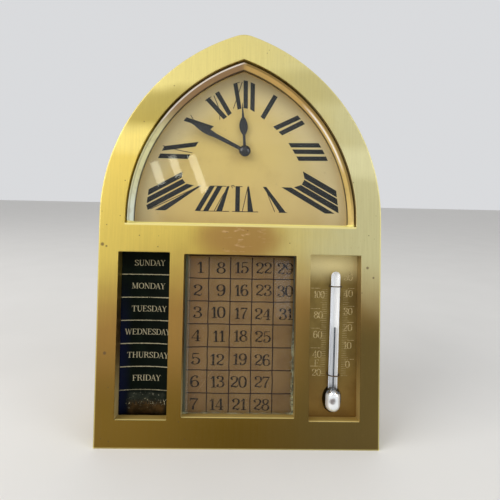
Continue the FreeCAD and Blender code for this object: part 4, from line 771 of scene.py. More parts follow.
# The band's printing: a cream line across it for each row, all the way round the loop, and the names of
# the seven days in serif capitals along the front.
class Recipe:
    """A Geometry Nodes tree with named sizes, and the piece that it makes."""

    def __init__(self, name, sizes):
        self.name = name
        self.tree = bpy.data.node_groups.new(name, "GeometryNodeTree")
        self.tree.interface.new_socket("Geometry", in_out="INPUT", socket_type="NodeSocketGeometry")
        self.values = {}
        for label, value in sizes.items():
            kind = {int: "NodeSocketInt", float: "NodeSocketFloat", Vector: "NodeSocketVector"}[type(value)]
            socket = self.tree.interface.new_socket(label, in_out="INPUT", socket_type=kind)
            self.values[socket.identifier] = value
        self.tree.interface.new_socket("Geometry", in_out="OUTPUT", socket_type="NodeSocketGeometry")
        self.inlet = self.tree.nodes.new("NodeGroupInput")

    def size(self, label):
        return self.inlet.outputs[label]

    def node(self, kind, settings, sockets, outlet=0):
        made = self.tree.nodes.new(kind)
        for name, value in settings.items():
            setattr(made, name, value)
        for name, value in sockets.items():
            if isinstance(value, bpy.types.NodeSocket):
                self.tree.links.new(value, made.inputs[name])
            else:
                made.inputs[name].default_value = value
        return made.outputs[outlet]

    def sum(self, operation, first, second):
        return self.node("ShaderNodeMath", {"operation": operation}, {0: first, 1: second})

    def join(self, parts):
        joined = self.tree.nodes.new("GeometryNodeJoinGeometry")
        for part in parts:
            self.tree.links.new(part, joined.inputs[0])
        return joined.outputs[0]

    def point(self, x, y, z):
        return self.node("ShaderNodeCombineXYZ", {}, {0: x, 1: y, 2: z})

    def piece(self, geometry, material, start=None, body="root", slot=None):
        """Ends the tree, runs it on a starting mesh and keeps the result as a plain placed mesh."""
        loose = self.node("GeometryNodeRealizeInstances", {}, {"Geometry": geometry})
        coloured = self.node("GeometryNodeSetMaterial", {}, {"Geometry": loose, "Material": material})
        outlet = self.tree.nodes.new("NodeGroupOutput")
        self.tree.links.new(coloured, outlet.inputs[0])
        worker = bpy.data.objects.new("worker", start or bpy.data.meshes.new("worker"))
        bpy.context.scene.collection.objects.link(worker)
        modifier = worker.modifiers.new("recipe", "NODES")
        modifier.node_group = self.tree
        for identifier, value in self.values.items():
            modifier[identifier] = value
        bpy.context.view_layer.update()
        data = bpy.data.meshes.new_from_object(worker.evaluated_get(bpy.context.evaluated_depsgraph_get()))
        worker.modifiers.clear()
        bpy.data.objects.remove(worker)
        data.name = self.name
        return placed_piece(self.name, data, material, body)


row_pitch = 11.75
first_line = 25.74
line_count = 16
line_places, line_turns = [], []
for row in range(line_count):
    here = band_face(0.0, (first_line - band_low + row_pitch * row) % band_length)
    level = min(max(here.z, band_low), band_high)
    line_places.append((band_middle, band_axis, level))
    line_turns.append(math.atan2(level - here.z, band_axis - here.y))
line_spots = bpy.data.meshes.new("line_spots")
line_spots.from_pydata(line_places, [], [])
turns = line_spots.attributes.new("turn", "FLOAT", "POINT")
turns.data.foreach_set("value", line_turns)
recipe = Recipe("weekday_lines", {
    "Length": 2 * band_half - 1.2, "Width": 0.42, "Lift": print_lift,
    "Waist": band_waist, "Dish": band_dish,
})
grid_size = {"Size X": 1.0, "Size Y": 1.0, "Vertices X": 33, "Vertices Y": 2}
rule = recipe.node("GeometryNodeMeshGrid", {}, grid_size, "Mesh")
spot = recipe.node("GeometryNodeInputPosition", {}, {})
grid_x = recipe.node("ShaderNodeSeparateXYZ", {}, {0: spot}, 0)
grid_y = recipe.node("ShaderNodeSeparateXYZ", {}, {0: spot}, 1)
share = recipe.sum("MULTIPLY", grid_x, recipe.size("Length"))
part_across = recipe.sum("DIVIDE", share, band_half)
dished = recipe.sum("MULTIPLY", recipe.sum("POWER", part_across, 2.0), recipe.size("Dish"))
outward = recipe.sum("ADD", recipe.sum("ADD", dished, recipe.size("Waist")), recipe.size("Lift"))
ragged_sockets = {"Vector": recipe.point(share, grid_y, 3.0), "Scale": 1.3, "Detail": 2.0}
ragged = recipe.node("ShaderNodeTexNoise", {}, ragged_sockets, 0)
wobble = recipe.sum("MULTIPLY", recipe.sum("SUBTRACT", ragged, 0.5), 0.35)
rise = recipe.sum("ADD", recipe.sum("MULTIPLY", grid_y, recipe.size("Width")), wobble)
bent_place = recipe.point(share, recipe.sum("MULTIPLY", outward, -1.0), rise)
bent = recipe.node("GeometryNodeSetPosition", {}, {"Geometry": rule, "Position": bent_place})
ink_wall = {"Mesh": bent, "Offset Scale": 0.02, "Individual": False}
solid_rule = recipe.node("GeometryNodeExtrudeMesh", {"mode": "FACES"}, ink_wall)
turned = recipe.node("GeometryNodeInputNamedAttribute", {"data_type": "FLOAT"}, {"Name": "turn"}, 0)
lines = recipe.node("GeometryNodeInstanceOnPoints", {}, {
    "Points": recipe.inlet.outputs["Geometry"],
    "Instance": solid_rule,
    "Rotation": recipe.point(turned, 0.0, 0.0),
})
cream_print, shade = bare_material("cream_print")
place = on_plate(shade)
flaked = fade(mottle(place, 0.8, 4.0, 0.7), 0.54, 0.68)
rubbed_foot = fade(axis(place, "Z"), 27.0, 24.5) * fade(mottle(place, 2.2, 4.0, 0.65), 0.36, 0.46)
print_colour = mix(flaked * 0.7, (0.42, 0.38, 0.25), (0.04, 0.042, 0.022))
close_material(shade, {
    "Base Color": mix(rubbed_foot, print_colour, (0.012, 0.014, 0.009)),
    "Roughness": 0.65,
    "Specular IOR Level": 0.15,
    "Normal": bumps(mottle(place, 0.4, 2.0), 0.01),
})
recipe.piece(lines, cream_print, line_spots, slot="band_cloth")

# Letters and figures are drawn in a box one unit high. A stroke is a weight and its points: "pen" is
# thick going down and thin going across, and a pair of weights swells from one to the other.
thin, thick = 0.06, 0.175
foot_level, head_level = 0.02, 0.98


def stem(x, weight=thick):
    return weight, [(x, 0.0), (x, 1.0)]


def bar(left, right, level):
    return thin, [(left, level), (right, level)]


def dot(x, z, width):
    return width, [(x, z)]


# Each letter's entry is how far it moves the pen on, and its strokes.
glyphs = {
    "0": (0.62, [
        ("pen", [
            (0.31, 0.985), (0.13, 0.86), (0.07, 0.5), (0.13, 0.14), (0.31, 0.015), (0.49, 0.14),
            (0.55, 0.5), (0.49, 0.86), (0.31, 0.985),
        ]),
    ]),
    "1": (0.46, [
        stem(0.27), ((thin, 0.1), [(0.06, 0.76), (0.16, 0.84), (0.24, 0.98)]), bar(0.08, 0.46, foot_level),
    ]),
    "2": (0.6, [
        dot(0.14, 0.74, 0.17),
        ("pen", [
            (0.07, 0.76), (0.13, 0.91), (0.3, 0.985), (0.47, 0.9), (0.52, 0.73), (0.44, 0.52),
            (0.22, 0.3), (0.08, 0.08),
        ]),
        ((0.05, 0.13), [(0.07, 0.05), (0.22, 0.1), (0.4, 0.06)]),
        ((0.13, 0.04), [(0.38, 0.055), (0.5, 0.07), (0.56, 0.24)]),
    ]),
    "3": (0.58, [
        dot(0.13, 0.8, 0.16),
        ("pen", [
            (0.07, 0.82), (0.15, 0.95), (0.29, 0.985), (0.44, 0.91), (0.48, 0.76), (0.41, 0.6),
            (0.22, 0.535),
        ]),
        ("pen", [
            (0.22, 0.535), (0.44, 0.48), (0.53, 0.28), (0.45, 0.08), (0.27, 0.015), (0.11, 0.07),
            (0.06, 0.19),
        ]),
        dot(0.13, 0.21, 0.17),
    ]),
    "4": (0.62, [
        (thin, [(0.4, 1.0), (0.04, 0.27)]), bar(0.03, 0.6, 0.27), (thick, [(0.42, 1.0), (0.42, 0.0)]),
        bar(0.26, 0.58, foot_level),
    ]),
    "5": (0.58, [
        ((0.11, thin), [(0.12, 0.945), (0.5, 0.965)]), (thin, [(0.12, 0.97), (0.1, 0.5)]),
        ("pen", [
            (0.1, 0.51), (0.22, 0.61), (0.38, 0.58), (0.51, 0.44), (0.52, 0.26), (0.42, 0.07),
            (0.25, 0.015), (0.11, 0.07), (0.06, 0.19),
        ]),
        dot(0.13, 0.21, 0.17),
    ]),
    "6": (0.6, [
        dot(0.45, 0.86, 0.15),
        ("pen", [
            (0.5, 0.89), (0.42, 0.97), (0.3, 0.985), (0.13, 0.82), (0.07, 0.42), (0.14, 0.1),
            (0.3, 0.015), (0.47, 0.1), (0.53, 0.31), (0.45, 0.52), (0.31, 0.58), (0.16, 0.5),
            (0.1, 0.36),
        ]),
    ]),
    "7": (0.56, [
        ((0.12, 0.1), [(0.05, 0.94), (0.53, 0.94)]), (thin, [(0.06, 0.97), (0.05, 0.76)]),
        ((thin, 0.18), [(0.52, 0.93), (0.36, 0.62), (0.26, 0.32), (0.24, 0.0)]),
    ]),
    "8": (0.6, [
        ("pen", [
            (0.3, 0.985), (0.16, 0.91), (0.12, 0.76), (0.18, 0.62), (0.3, 0.54), (0.42, 0.62),
            (0.48, 0.76), (0.44, 0.91), (0.3, 0.985),
        ]),
        ("pen", [
            (0.3, 0.54), (0.13, 0.44), (0.07, 0.27), (0.13, 0.09), (0.3, 0.015), (0.47, 0.09),
            (0.53, 0.27), (0.47, 0.44), (0.3, 0.54),
        ]),
    ]),
    "A": (0.8, [
        (thin, [(0.38, 1.0), (0.1, 0.0)]), (0.15, [(0.4, 1.0), (0.68, 0.0)]), bar(0.2, 0.57, 0.34),
        bar(0.0, 0.24, foot_level), bar(0.54, 0.84, foot_level),
    ]),
    "D": (0.84, [
        stem(0.16), bar(0.03, 0.34, foot_level), bar(0.03, 0.34, head_level),
        ("pen", [
            (0.3, 0.98), (0.56, 0.93), (0.74, 0.72), (0.77, 0.5), (0.74, 0.28), (0.56, 0.07),
            (0.3, 0.02),
        ]),
    ]),
    "E": (0.74, [
        stem(0.16), bar(0.03, 0.62, head_level), bar(0.16, 0.46, 0.52), bar(0.03, 0.66, foot_level),
        ((0.03, 0.09), [(0.6, 0.78), (0.62, 0.98)]), ((0.09, 0.03), [(0.66, 0.02), (0.64, 0.24)]),
        (0.05, [(0.46, 0.42), (0.46, 0.62)]),
    ]),
    "F": (0.7, [
        stem(0.16), bar(0.03, 0.62, head_level), bar(0.16, 0.46, 0.52), bar(0.03, 0.32, foot_level),
        ((0.03, 0.09), [(0.6, 0.78), (0.62, 0.98)]), (0.05, [(0.46, 0.42), (0.46, 0.62)]),
    ]),
    "H": (0.88, [
        stem(0.16), stem(0.68), bar(0.16, 0.68, 0.51), bar(0.03, 0.3, foot_level),
        bar(0.03, 0.3, head_level), bar(0.54, 0.82, foot_level), bar(0.54, 0.82, head_level),
    ]),
    "I": (0.42, [
        stem(0.18), bar(0.04, 0.34, foot_level), bar(0.04, 0.34, head_level),
    ]),
    "M": (1.04, [
        stem(0.16, thin), (0.15, [(0.18, 1.0), (0.48, 0.02)]), (thin, [(0.48, 0.02), (0.78, 1.0)]),
        stem(0.82), bar(0.03, 0.29, foot_level), bar(0.68, 0.97, foot_level), bar(0.03, 0.18, head_level),
        bar(0.8, 0.97, head_level),
    ]),
    "N": (0.88, [
        stem(0.15, thin), (0.16, [(0.15, 1.0), (0.7, 0.0)]), stem(0.72, thin), bar(0.03, 0.28, foot_level),
        bar(0.0, 0.18, head_level), bar(0.6, 0.85, head_level),
    ]),
    "O": (0.86, [
        ("pen", [
            (0.41, 0.985), (0.15, 0.84), (0.07, 0.5), (0.15, 0.16), (0.41, 0.015), (0.67, 0.16),
            (0.75, 0.5), (0.67, 0.84), (0.41, 0.985),
        ]),
    ]),
    "R": (0.84, [
        stem(0.16), bar(0.03, 0.32, foot_level), bar(0.03, 0.36, head_level),
        ("pen", [(0.34, 0.98), (0.54, 0.93), (0.61, 0.76), (0.54, 0.58), (0.34, 0.51), (0.18, 0.51)]),
        ((0.1, 0.17), [(0.4, 0.5), (0.56, 0.36), (0.62, 0.14), (0.72, 0.02)]),
        (thin, [(0.7, 0.02), (0.82, 0.05)]),
    ]),
    "S": (0.66, [
        ("pen", [
            (0.52, 0.8), (0.44, 0.95), (0.29, 0.985), (0.13, 0.9), (0.1, 0.74), (0.2, 0.6), (0.4, 0.46),
            (0.53, 0.32), (0.51, 0.11), (0.32, 0.015), (0.15, 0.06), (0.07, 0.22),
        ]),
        ((0.03, 0.08), [(0.54, 0.7), (0.54, 0.98)]), ((0.08, 0.03), [(0.06, 0.02), (0.06, 0.3)]),
    ]),
    "T": (0.78, [
        stem(0.37), bar(0.05, 0.7, head_level), ((0.09, 0.03), [(0.05, 0.98), (0.04, 0.74)]),
        ((0.09, 0.03), [(0.7, 0.98), (0.71, 0.74)]), bar(0.22, 0.52, foot_level),
    ]),
    "U": (0.84, [
        (thick, [(0.16, 1.0), (0.16, 0.34)]),
        ((thick, thin), [(0.16, 0.36), (0.22, 0.1), (0.4, 0.015), (0.58, 0.09), (0.66, 0.34)]),
        (thin, [(0.66, 0.32), (0.66, 1.0)]), bar(0.02, 0.31, head_level), bar(0.54, 0.79, head_level),
    ]),
    "W": (1.12, [
        (0.15, [(0.12, 1.0), (0.34, 0.0)]), (thin, [(0.34, 0.0), (0.54, 1.0)]),
        (0.15, [(0.52, 1.0), (0.75, 0.0)]), (thin, [(0.75, 0.0), (0.96, 1.0)]), bar(0.0, 0.27, head_level),
        bar(0.85, 1.08, head_level),
    ]),
    "Y": (0.8, [
        (0.15, [(0.11, 1.0), (0.38, 0.48)]), (thin, [(0.38, 0.48), (0.66, 1.0)]),
        (thick, [(0.38, 0.0), (0.38, 0.52)]), bar(0.0, 0.25, head_level), bar(0.54, 0.78, head_level),
        bar(0.24, 0.53, foot_level),
    ]),
}
nine_width, six_strokes = glyphs["6"]
glyphs["9"] = (nine_width, [
    (weight, [(nine_width - x, 1.0 - z) for x, z in points]) for weight, points in six_strokes
])


pen_contrast = 1.7


def stroke_width(weight):
    """How wide a stroke is, in box heights, at a share of its length and in a direction."""
    if weight == "pen":
        return lambda share, way: thin + (thick - thin) * abs(way.y) ** pen_contrast
    if isinstance(weight, tuple):
        return lambda share, way: weight[0] + (weight[1] - weight[0]) * share
    return lambda share, way: weight


def ink_dot(mesh, middle, radius, front, back):
    """A round dot of ink."""
    rises = [math.radians(8 + 164 * k / 8) for k in range(9)]
    left = [(middle[0] - radius * math.sin(r), middle[1] - radius * math.cos(r)) for r in rises]
    right = [(middle[0] + radius * math.sin(r), middle[1] - radius * math.cos(r)) for r in rises]
    strip(mesh, left, right, front, back)


def write(mesh, text, corner, high, narrow, tilt, front, back, bold=1.0):
    """Draws text from its lower left corner, in the plate's millimetres."""
    pen_at = 0.0
    swing = Matrix.Rotation(tilt, 2)
    for letter in text:
        advance, strokes = glyphs[letter]
        for weight, points in strokes:
            path = [
                Vector(corner) + swing @ Vector(((pen_at + x) * high * narrow, z * high)) for x, z in points
            ]
            if len(points) == 1:
                ink_dot(mesh, path[0], weight * high / 2, front, back)
            else:
                width = stroke_width(weight)
                pen_stroke(mesh, path, lambda share, way: width(share, way) * high * bold, front, back)
        pen_at += advance


def text_length(text, high, narrow):
    """How long a text is when it is written at that height."""
    return sum(glyphs[letter][0] for letter in text) * high * narrow


day_names = ["SUNDAY", "MONDAY", "TUESDAY", "WEDNESDAY", "THURSDAY", "FRIDAY", "SATURDAY"]
day_high = 2.9
day_room = 23.2
day_widest = 1.14
day_drop, day_lead = 7.25, 0.9
print_clear = 0.035
day_shifts = (0.2, -0.3, 0.4, 0.0, 0.3, -0.2, 0.1)
day_tilts = (0.4, -0.5, 0.2, 0.0, -0.4, 0.5, -0.2)
mesh = bmesh.new()
for row, (day, shift, tilt) in enumerate(zip(day_names, day_shifts, day_tilts)):
    foot = first_line + row_pitch * (6 - row) - day_drop
    narrow = min(day_widest, day_room / text_length(day, day_high, 1.0))
    length = text_length(day, day_high, narrow)
    start = band_middle + day_lead - length / 2 + shift
    write(mesh, day, (start, foot), day_high, narrow, math.radians(tilt), 0.0, print_lift, bold=0.85)
# The names are drawn flat, and then laid on the band's ripples and its dish.
for vertex in mesh.verts:
    share = (vertex.co.x - band_middle) / band_half
    vertex.co.y = band_face(share, vertex.co.z - band_low).y - print_clear + vertex.co.y
drawn_piece("weekday_names", mesh, cream_print)


# The rollers: turned hardwood, waisted in the middle so that the band stays centred, and hung between
# brass end brackets.
turned_wood, shade = bare_material("turned_wood")
place = on_plate(shade)
rings = place.node(
    "TexWave", {"wave_type": "RINGS", "rings_direction": "X"},
    {"Vector": place, "Scale": 0.35, "Distortion": 3.0, "Detail": 3.0},
)
pores = fade(mottle(place, 0.3, 2.0, 0.6, stretch=(9, 1, 1)), 0.55, 0.7)
colour = mix(rings, (0.36, 0.21, 0.10), (0.22, 0.11, 0.05))
close_material(shade, {
    "Base Color": mix(pores * 0.6, colour, (0.09, 0.045, 0.02)),
    "Roughness": 0.5 + pores * 0.2,
    "Normal": bumps(rings - pores, 0.03),
})
dress(turned_wood, "upper_roller", "lower_roller")


# The month table: a printed card gone pinkish brown, darkened partly as painted shade, ruled in dark
# red-black and stamped with figures one by one, so they sit unevenly and some have worn thin.
card_front = 7.5
aged_card, shade = bare_material("aged_card")
place = on_plate(shade)
stain = fade(mottle(place, 11.0, 4.0, 0.6), 0.4, 0.72)
fibre = mottle(place, 0.35, 3.0, 0.6, stretch=(1, 1, 4))
right_light = fade(axis(place, "X"), 0.0, 27.0)
# The card's brown is partly its own and partly painted shade.
colour = mix(stain, (0.235, 0.142, 0.050), (0.188, 0.105, 0.034))
# Painted light: the left part is lighter, against the shade there.
colour = mix(fade(axis(place, "X"), -14.0, -24.0) * 0.5, colour, (0.33, 0.175, 0.06))
colour = mix(fade(fibre, 0.5, 0.75) * 0.3, colour, (0.17, 0.09, 0.04))
scuffs = fade(mottle(place, 2.2, 4.0, 0.7), 0.62, 0.72) * 0.35 * right_light
colour = mix(scuffs, colour, (0.42, 0.30, 0.16))
close_material(shade, {
    "Base Color": colour,
    "Roughness": 0.75,
    "Specular IOR Level": 0.2,
    "Normal": bumps(fibre, 0.015),
})
dress(aged_card, "calendar_card")

row_lines = [94.3, 82.86, 71.25, 59.6, 47.7, 36.1, 24.75, 13.2]
recipe = Recipe("table_rules", {
    "Rows": 7, "Pitch": row_pitch - 0.08, "First row": row_lines[-2], "Width": 0.55, "Lift": print_lift,
    "Columns": 4, "Columns pitch": 11.1, "First column": -16.1, "Wide": 54.8, "High": 81.0, "Middle": 53.6,
})
rows = recipe.node("GeometryNodeMeshLine", {"mode": "OFFSET", "count_mode": "TOTAL"}, {
    "Count": recipe.size("Rows"),
    "Start Location": recipe.point(0.6, card_front, recipe.size("First row")),
    "Offset": recipe.point(0.0, 0.0, recipe.size("Pitch")),
})
files = recipe.node("GeometryNodeMeshLine", {"mode": "OFFSET", "count_mode": "TOTAL"}, {
    "Count": recipe.size("Columns"),
    "Start Location": recipe.point(recipe.size("First column"), card_front, recipe.size("Middle")),
    "Offset": recipe.point(recipe.size("Columns pitch"), 0.0, 0.0),
})
row_rule = recipe.node("GeometryNodeMeshCube", {}, {
    "Size": recipe.point(recipe.size("Wide"), recipe.size("Lift"), recipe.size("Width")),
    "Vertices X": 60,
}, "Mesh")
column_rule = recipe.node("GeometryNodeMeshCube", {}, {
    "Size": recipe.point(recipe.size("Width"), recipe.size("Lift"), recipe.size("High")),
    "Vertices Z": 80,
}, "Mesh")
ruled = recipe.node("GeometryNodeInstanceOnPoints", {}, {"Points": rows, "Instance": row_rule})
ruled_down = recipe.node("GeometryNodeInstanceOnPoints", {}, {"Points": files, "Instance": column_rule})
loose = recipe.node("GeometryNodeRealizeInstances", {}, {"Geometry": recipe.join([ruled, ruled_down])})
spot = recipe.node("GeometryNodeInputPosition", {}, {})
drift = recipe.node("ShaderNodeTexNoise", {}, {"Vector": spot, "Scale": 0.12, "Detail": 3.0}, 1)
drift = recipe.node("ShaderNodeVectorMath", {"operation": "SUBTRACT"}, {0: drift, 1: (0.5, 0.5, 0.5)})
drift = recipe.node("ShaderNodeVectorMath", {"operation": "MULTIPLY"}, {0: drift, 1: (0.9, 0.0, 0.9)})
wavy = recipe.node("GeometryNodeSetPosition", {}, {"Geometry": loose, "Offset": drift})
rule_ink, shade = bare_material("rule_ink")
place = on_plate(shade)
faint = fade(mottle(place, 3.0, 3.0, 0.7), 0.5, 0.75)
close_material(shade, {
    "Base Color": mix(faint * 0.25, (0.014, 0.005, 0.004), (0.13, 0.065, 0.03)),
    "Roughness": 0.7,
    "Specular IOR Level": 0.15,
    "Normal": bumps(mottle(place, 0.4, 2.0), 0.005),
})
recipe.piece(wavy, rule_ink, slot="card_paper")

# Each figure is stamped by hand, so it lands a little to one side, high or low, and tilted.
figure_high = 5.7
lone_narrow, pair_narrow = 1.42, 1.22
stamp_shake, stamp_tilt, stamp_lift = 0.5, 4.0, 0.1
right_edges = {1: -18.9, 2: -7.4, 3: 4.2, 4: 16.2, 5: 27.3}
mesh = bmesh.new()
for day in range(1, 32):
    column = (day - 1) // 7 + 1
    row = (day - 1) % 7
    top, bottom = row_lines[row], row_lines[row + 1]
    text = str(day)
    sideways = math.sin(12.9898 * day) * 43758.5453 % 1.0 - 0.5
    upwards = math.sin(78.233 * day) * 12543.123 % 1.0 - 0.5
    narrow = lone_narrow if day < 10 else pair_narrow
    length = text_length(text, figure_high, narrow)
    start = right_edges[column] - length + sideways * stamp_shake - (0.2 * row if column == 1 else 0.0)
    foot = (top + bottom) / 2 - figure_high / 2 + upwards * stamp_shake + stamp_lift
    tilt = math.radians(sideways * stamp_tilt)
    front, back = card_front - print_lift, card_front + print_sink
    write(mesh, text, (start, foot), figure_high, narrow, tilt, front, back, bold=1.05)
figure_ink, shade = bare_material("figure_ink")
place = on_plate(shade)
right_wear = fade(axis(place, "X"), -16.0, 30.0)
thin_ink = fade(mottle(place, 0.9, 4.0, 0.7) + right_wear * 0.07, 0.56, 0.66)
close_material(shade, {
    "Base Color": mix(thin_ink * 0.72, (0.010, 0.006, 0.004), (0.17, 0.10, 0.04)),
    "Roughness": 0.7,
    "Specular IOR Level": 0.15,
    "Normal": bumps(mottle(place, 0.4, 2.0), 0.005),
})
drawn_piece("table_figures", mesh, figure_ink)


# The table's glass: a thick pane with ground edges, let into its window. The right edge is chipped,
# and its bruises catch a greenish white light.
thick_pane, shade = bare_material("thick_pane")
place = on_plate(shade)
across = axis(place, "X")
up = axis(place, "Z")
ground_left = fade(across, -26.2, -26.6)
seam_left = between(across, -26.5, -25.3, 0.3)
ground_right = fade(across, 26.9, 27.3)
flakes = fade(mottle(place, 1.3, 4.0, 0.7, stretch=(1, 1, 1.8)), 0.44, 0.56)
chip = fade(across, 25.9, 26.6) * flakes * fade(up, 66.0, 44.0)
seam_foot = fade(up, 16.6, 15.9) * fade(mottle(place, 3.0, 3.0), 0.35, 0.6)
dust = fade(mottle(place, 20.0, 4.0, 0.6), 0.45, 0.8)
colour = mix(ground_left + ground_right, (0.42, 0.45, 0.44), (0.12, 0.15, 0.135))
colour = mix(seam_left, colour, (0.42, 0.36, 0.26))
colour = mix(chip + seam_foot * 0.8, colour, (0.55, 0.60, 0.42))
ground = ground_left + ground_right + seam_left + chip + seam_foot
frosting = (ground_left + ground_right) * 0.7 + seam_left * 0.35 + chip * 0.6 + seam_foot * 0.15
close_material(shade, {
    "Base Color": colour,
    "Metallic": 1.0 - ground,
    "Roughness": 0.04 + ground * 0.3,
    "Alpha": glass_mirror(shade) + dust * 0.01 + frosting,
    "Normal": bumps(mottle(place, 0.9, 4.0, 0.7) * chip, 0.25),
})
dress(thick_pane, "calendar_glass")


# The thermometer's scale: a darker matt brass plate behind its window, with divisions and numbers
# engraved by hand on both sides of the glass.
scale_front = 6.5
engraved_brass, shade = bare_material("engraved_brass")
place = on_plate(shade)
matting = mottle(place, 0.5, 3.0, 0.7)
tone = fade(mottle(place, 10.0, 3.0, 0.6), 0.35, 0.7)
colour = mix(tone, (0.25, 0.175, 0.052), (0.18, 0.122, 0.036))
colour = mix(fade(axis(place, "Z"), 50.0, 16.0) * 0.5, colour, (0.26, 0.135, 0.03))
# Painted reflection: the top of the plate is much brighter.
colour = mix(fade(axis(place, "Z"), 80.0, 92.0) * 0.85, colour, (0.80, 0.68, 0.34))
colour = mix(fade(matting, 0.55, 0.75) * 0.35, colour, (0.14, 0.09, 0.03))
close_material(shade, {
    "Base Color": colour,
    "Metallic": 0.9,
    "Roughness": 0.46 + matting * 0.14,
    "Normal": bumps(matting, 0.02),
})
dress(engraved_brass, "thermometer_scale")

recipe = Recipe("scale_divisions", {
    "Count": 48, "Pitch": 0.93, "Foot": 34.6, "Left": 44.1, "Right": 52.2, "Slant": 0.0183,
    "Short": 2.6, "Long": 3.4, "Width": 0.24, "Lift": 0.05,
})
number = recipe.node("GeometryNodeInputIndex", {}, {})
fifth = recipe.sum("LESS_THAN", recipe.sum("MODULO", number, 5.0), 0.5)
longer = recipe.sum("MULTIPLY", fifth, recipe.sum("SUBTRACT", recipe.size("Long"), recipe.size("Short")))
reach = recipe.sum("ADD", recipe.size("Short"), longer)
tick_size = recipe.point(1.0, recipe.size("Lift"), recipe.size("Width"))
tick = recipe.node("GeometryNodeMeshCube", {}, {"Size": tick_size}, "Mesh")
drift = recipe.sum("MULTIPLY", recipe.size("Slant"), recipe.size("Pitch"))
sides = []
for side, label in ((-1.0, "Left"), (1.0, "Right")):
    marks = recipe.node("GeometryNodeMeshLine", {"mode": "OFFSET", "count_mode": "TOTAL"}, {
        "Count": recipe.size("Count"),
        "Start Location": recipe.point(recipe.size(label), scale_front, recipe.size("Foot")),
        "Offset": recipe.point(drift, 0.0, recipe.size("Pitch")),
    })
    outwards = recipe.point(recipe.sum("MULTIPLY", reach, side / 2), 0.0, 0.0)
    moved = recipe.node("GeometryNodeSetPosition", {}, {"Geometry": marks, "Offset": outwards})
    sides.append(recipe.node("GeometryNodeInstanceOnPoints", {}, {
        "Points": moved,
        "Instance": tick,
        "Scale": recipe.point(reach, 1.0, 1.0),
    }))
engraving, shade = bare_material("engraving")
place = on_plate(shade)
dirt = fade(mottle(place, 2.0, 3.0), 0.35, 0.65)
close_material(shade, {
    "Base Color": mix(dirt, (0.42, 0.33, 0.14), (0.27, 0.20, 0.075)),
    "Metallic": 0.4,
    "Roughness": 0.5,
})
recipe.piece(recipe.join(sides), engraving, slot="scale_brass")

# Each label is its text, its middle and its level. A short line is cut above every number.
scale_labels = [
    ("50", 55.6, 84.98), ("40", 55.6, 76.52), ("30", 55.6, 67.41), ("20", 55.5, 59.15), ("10", 55.5, 50.03),
    ("0", 55.6, 40.38), ("100", 40.6, 75.80), ("80", 40.3, 65.37), ("60", 40.1, 55.38), ("40", 39.9, 45.36),
    ("F", 39.8, 40.9), ("20", 39.7, 36.12),
]
label_high = 3.5
cut_width = 0.22
cut_front, cut_back = scale_front - print_lift, scale_front + print_sink
mesh = bmesh.new()
for text, middle, level in scale_labels:
    narrow = 0.95 if len(text) > 2 else 1.1
    start = middle - text_length(text, label_high, narrow) / 2
    corner = (start, level - label_high / 2)
    write(mesh, text, corner, label_high, narrow, 0.0, cut_front, cut_back, bold=0.85)
    if text == "F":
        continue
    from_x, to_x, above = (36.4, 41.2, 3.2) if middle < 48 else (55.4, 58.8, 2.6)
    line = [(from_x, level + above), (to_x, level + above)]
    pen_stroke(mesh, line, lambda share, way: cut_width, cut_front, cut_back)
cut_figures, shade = bare_material("cut_figures")
place = on_plate(shade)
dirt = fade(mottle(place, 0.9, 3.0, 0.6), 0.4, 0.65)
close_material(shade, {
    "Base Color": mix(dirt, (0.58, 0.46, 0.22), (0.24, 0.17, 0.06)),
    "Metallic": 0.4,
    "Roughness": 0.45,
})
drawn_piece("scale_figures", mesh, cut_figures)


# The thermometer: a blown glass tube with a white enamel strip in its back and a bulb of mercury,
# tied to the scale by two dark wire clips.
tube_glass, shade = bare_material("tube_glass")
place = on_plate(shade)
slant = shade.node("LayerWeight", {}, {"Blend": 0.5}, "Facing")
# The bulb's round glass magnifies the mercury inside it, so the whole bulb looks silvered.
bulb_top = 27.2
# Painted reflection: a dark spot in the middle of the bulb.
pupil_across, pupil_level = 46.7, 23.8
bulb = fade(axis(place, "Z"), bulb_top, bulb_top - 0.8)
smudge = mottle(place, 2.0, 3.0, 0.6) * 5.0
from_pupil = (axis(place, "X") - pupil_across) ** 2.0 + (axis(place, "Z") - pupil_level) ** 2.0
pupil = bulb * fade(from_pupil + smudge, 6.5, 2.5)
glass_tint = mix(fade(mottle(place, 5.0, 2.0), 0.4, 0.7), (0.90, 0.94, 0.98), (0.97, 0.98, 1.0))
close_material(shade, {
    "Base Color": mix(pupil * 0.85, glass_tint, (0.12, 0.085, 0.08)),
    "Metallic": 1.0 - bulb * 0.5,
    "Roughness": 0.04 + bulb * 0.10,
    "Alpha": glass_mirror(shade) * 0.6 + slant * 0.05 + bulb,
})
dress(tube_glass, "thermometer_tube")
liquid_mercury, shade = bare_material("liquid_mercury")
place = on_plate(shade)
column = fade(axis(place, "Z"), 27.0, 29.0)
silver = mix(mottle(place, 4.0, 2.0), (0.66, 0.68, 0.70), (0.78, 0.79, 0.80))
close_material(shade, {
    "Base Color": mix(column, silver, (0.05, 0.06, 0.075)),
    "Metallic": 1.0 - column * 0.7,
    "Roughness": 0.06 + mottle(place, 2.0, 2.0) * 0.05 + column * 0.4,
})
dress(liquid_mercury, "thermometer_mercury")
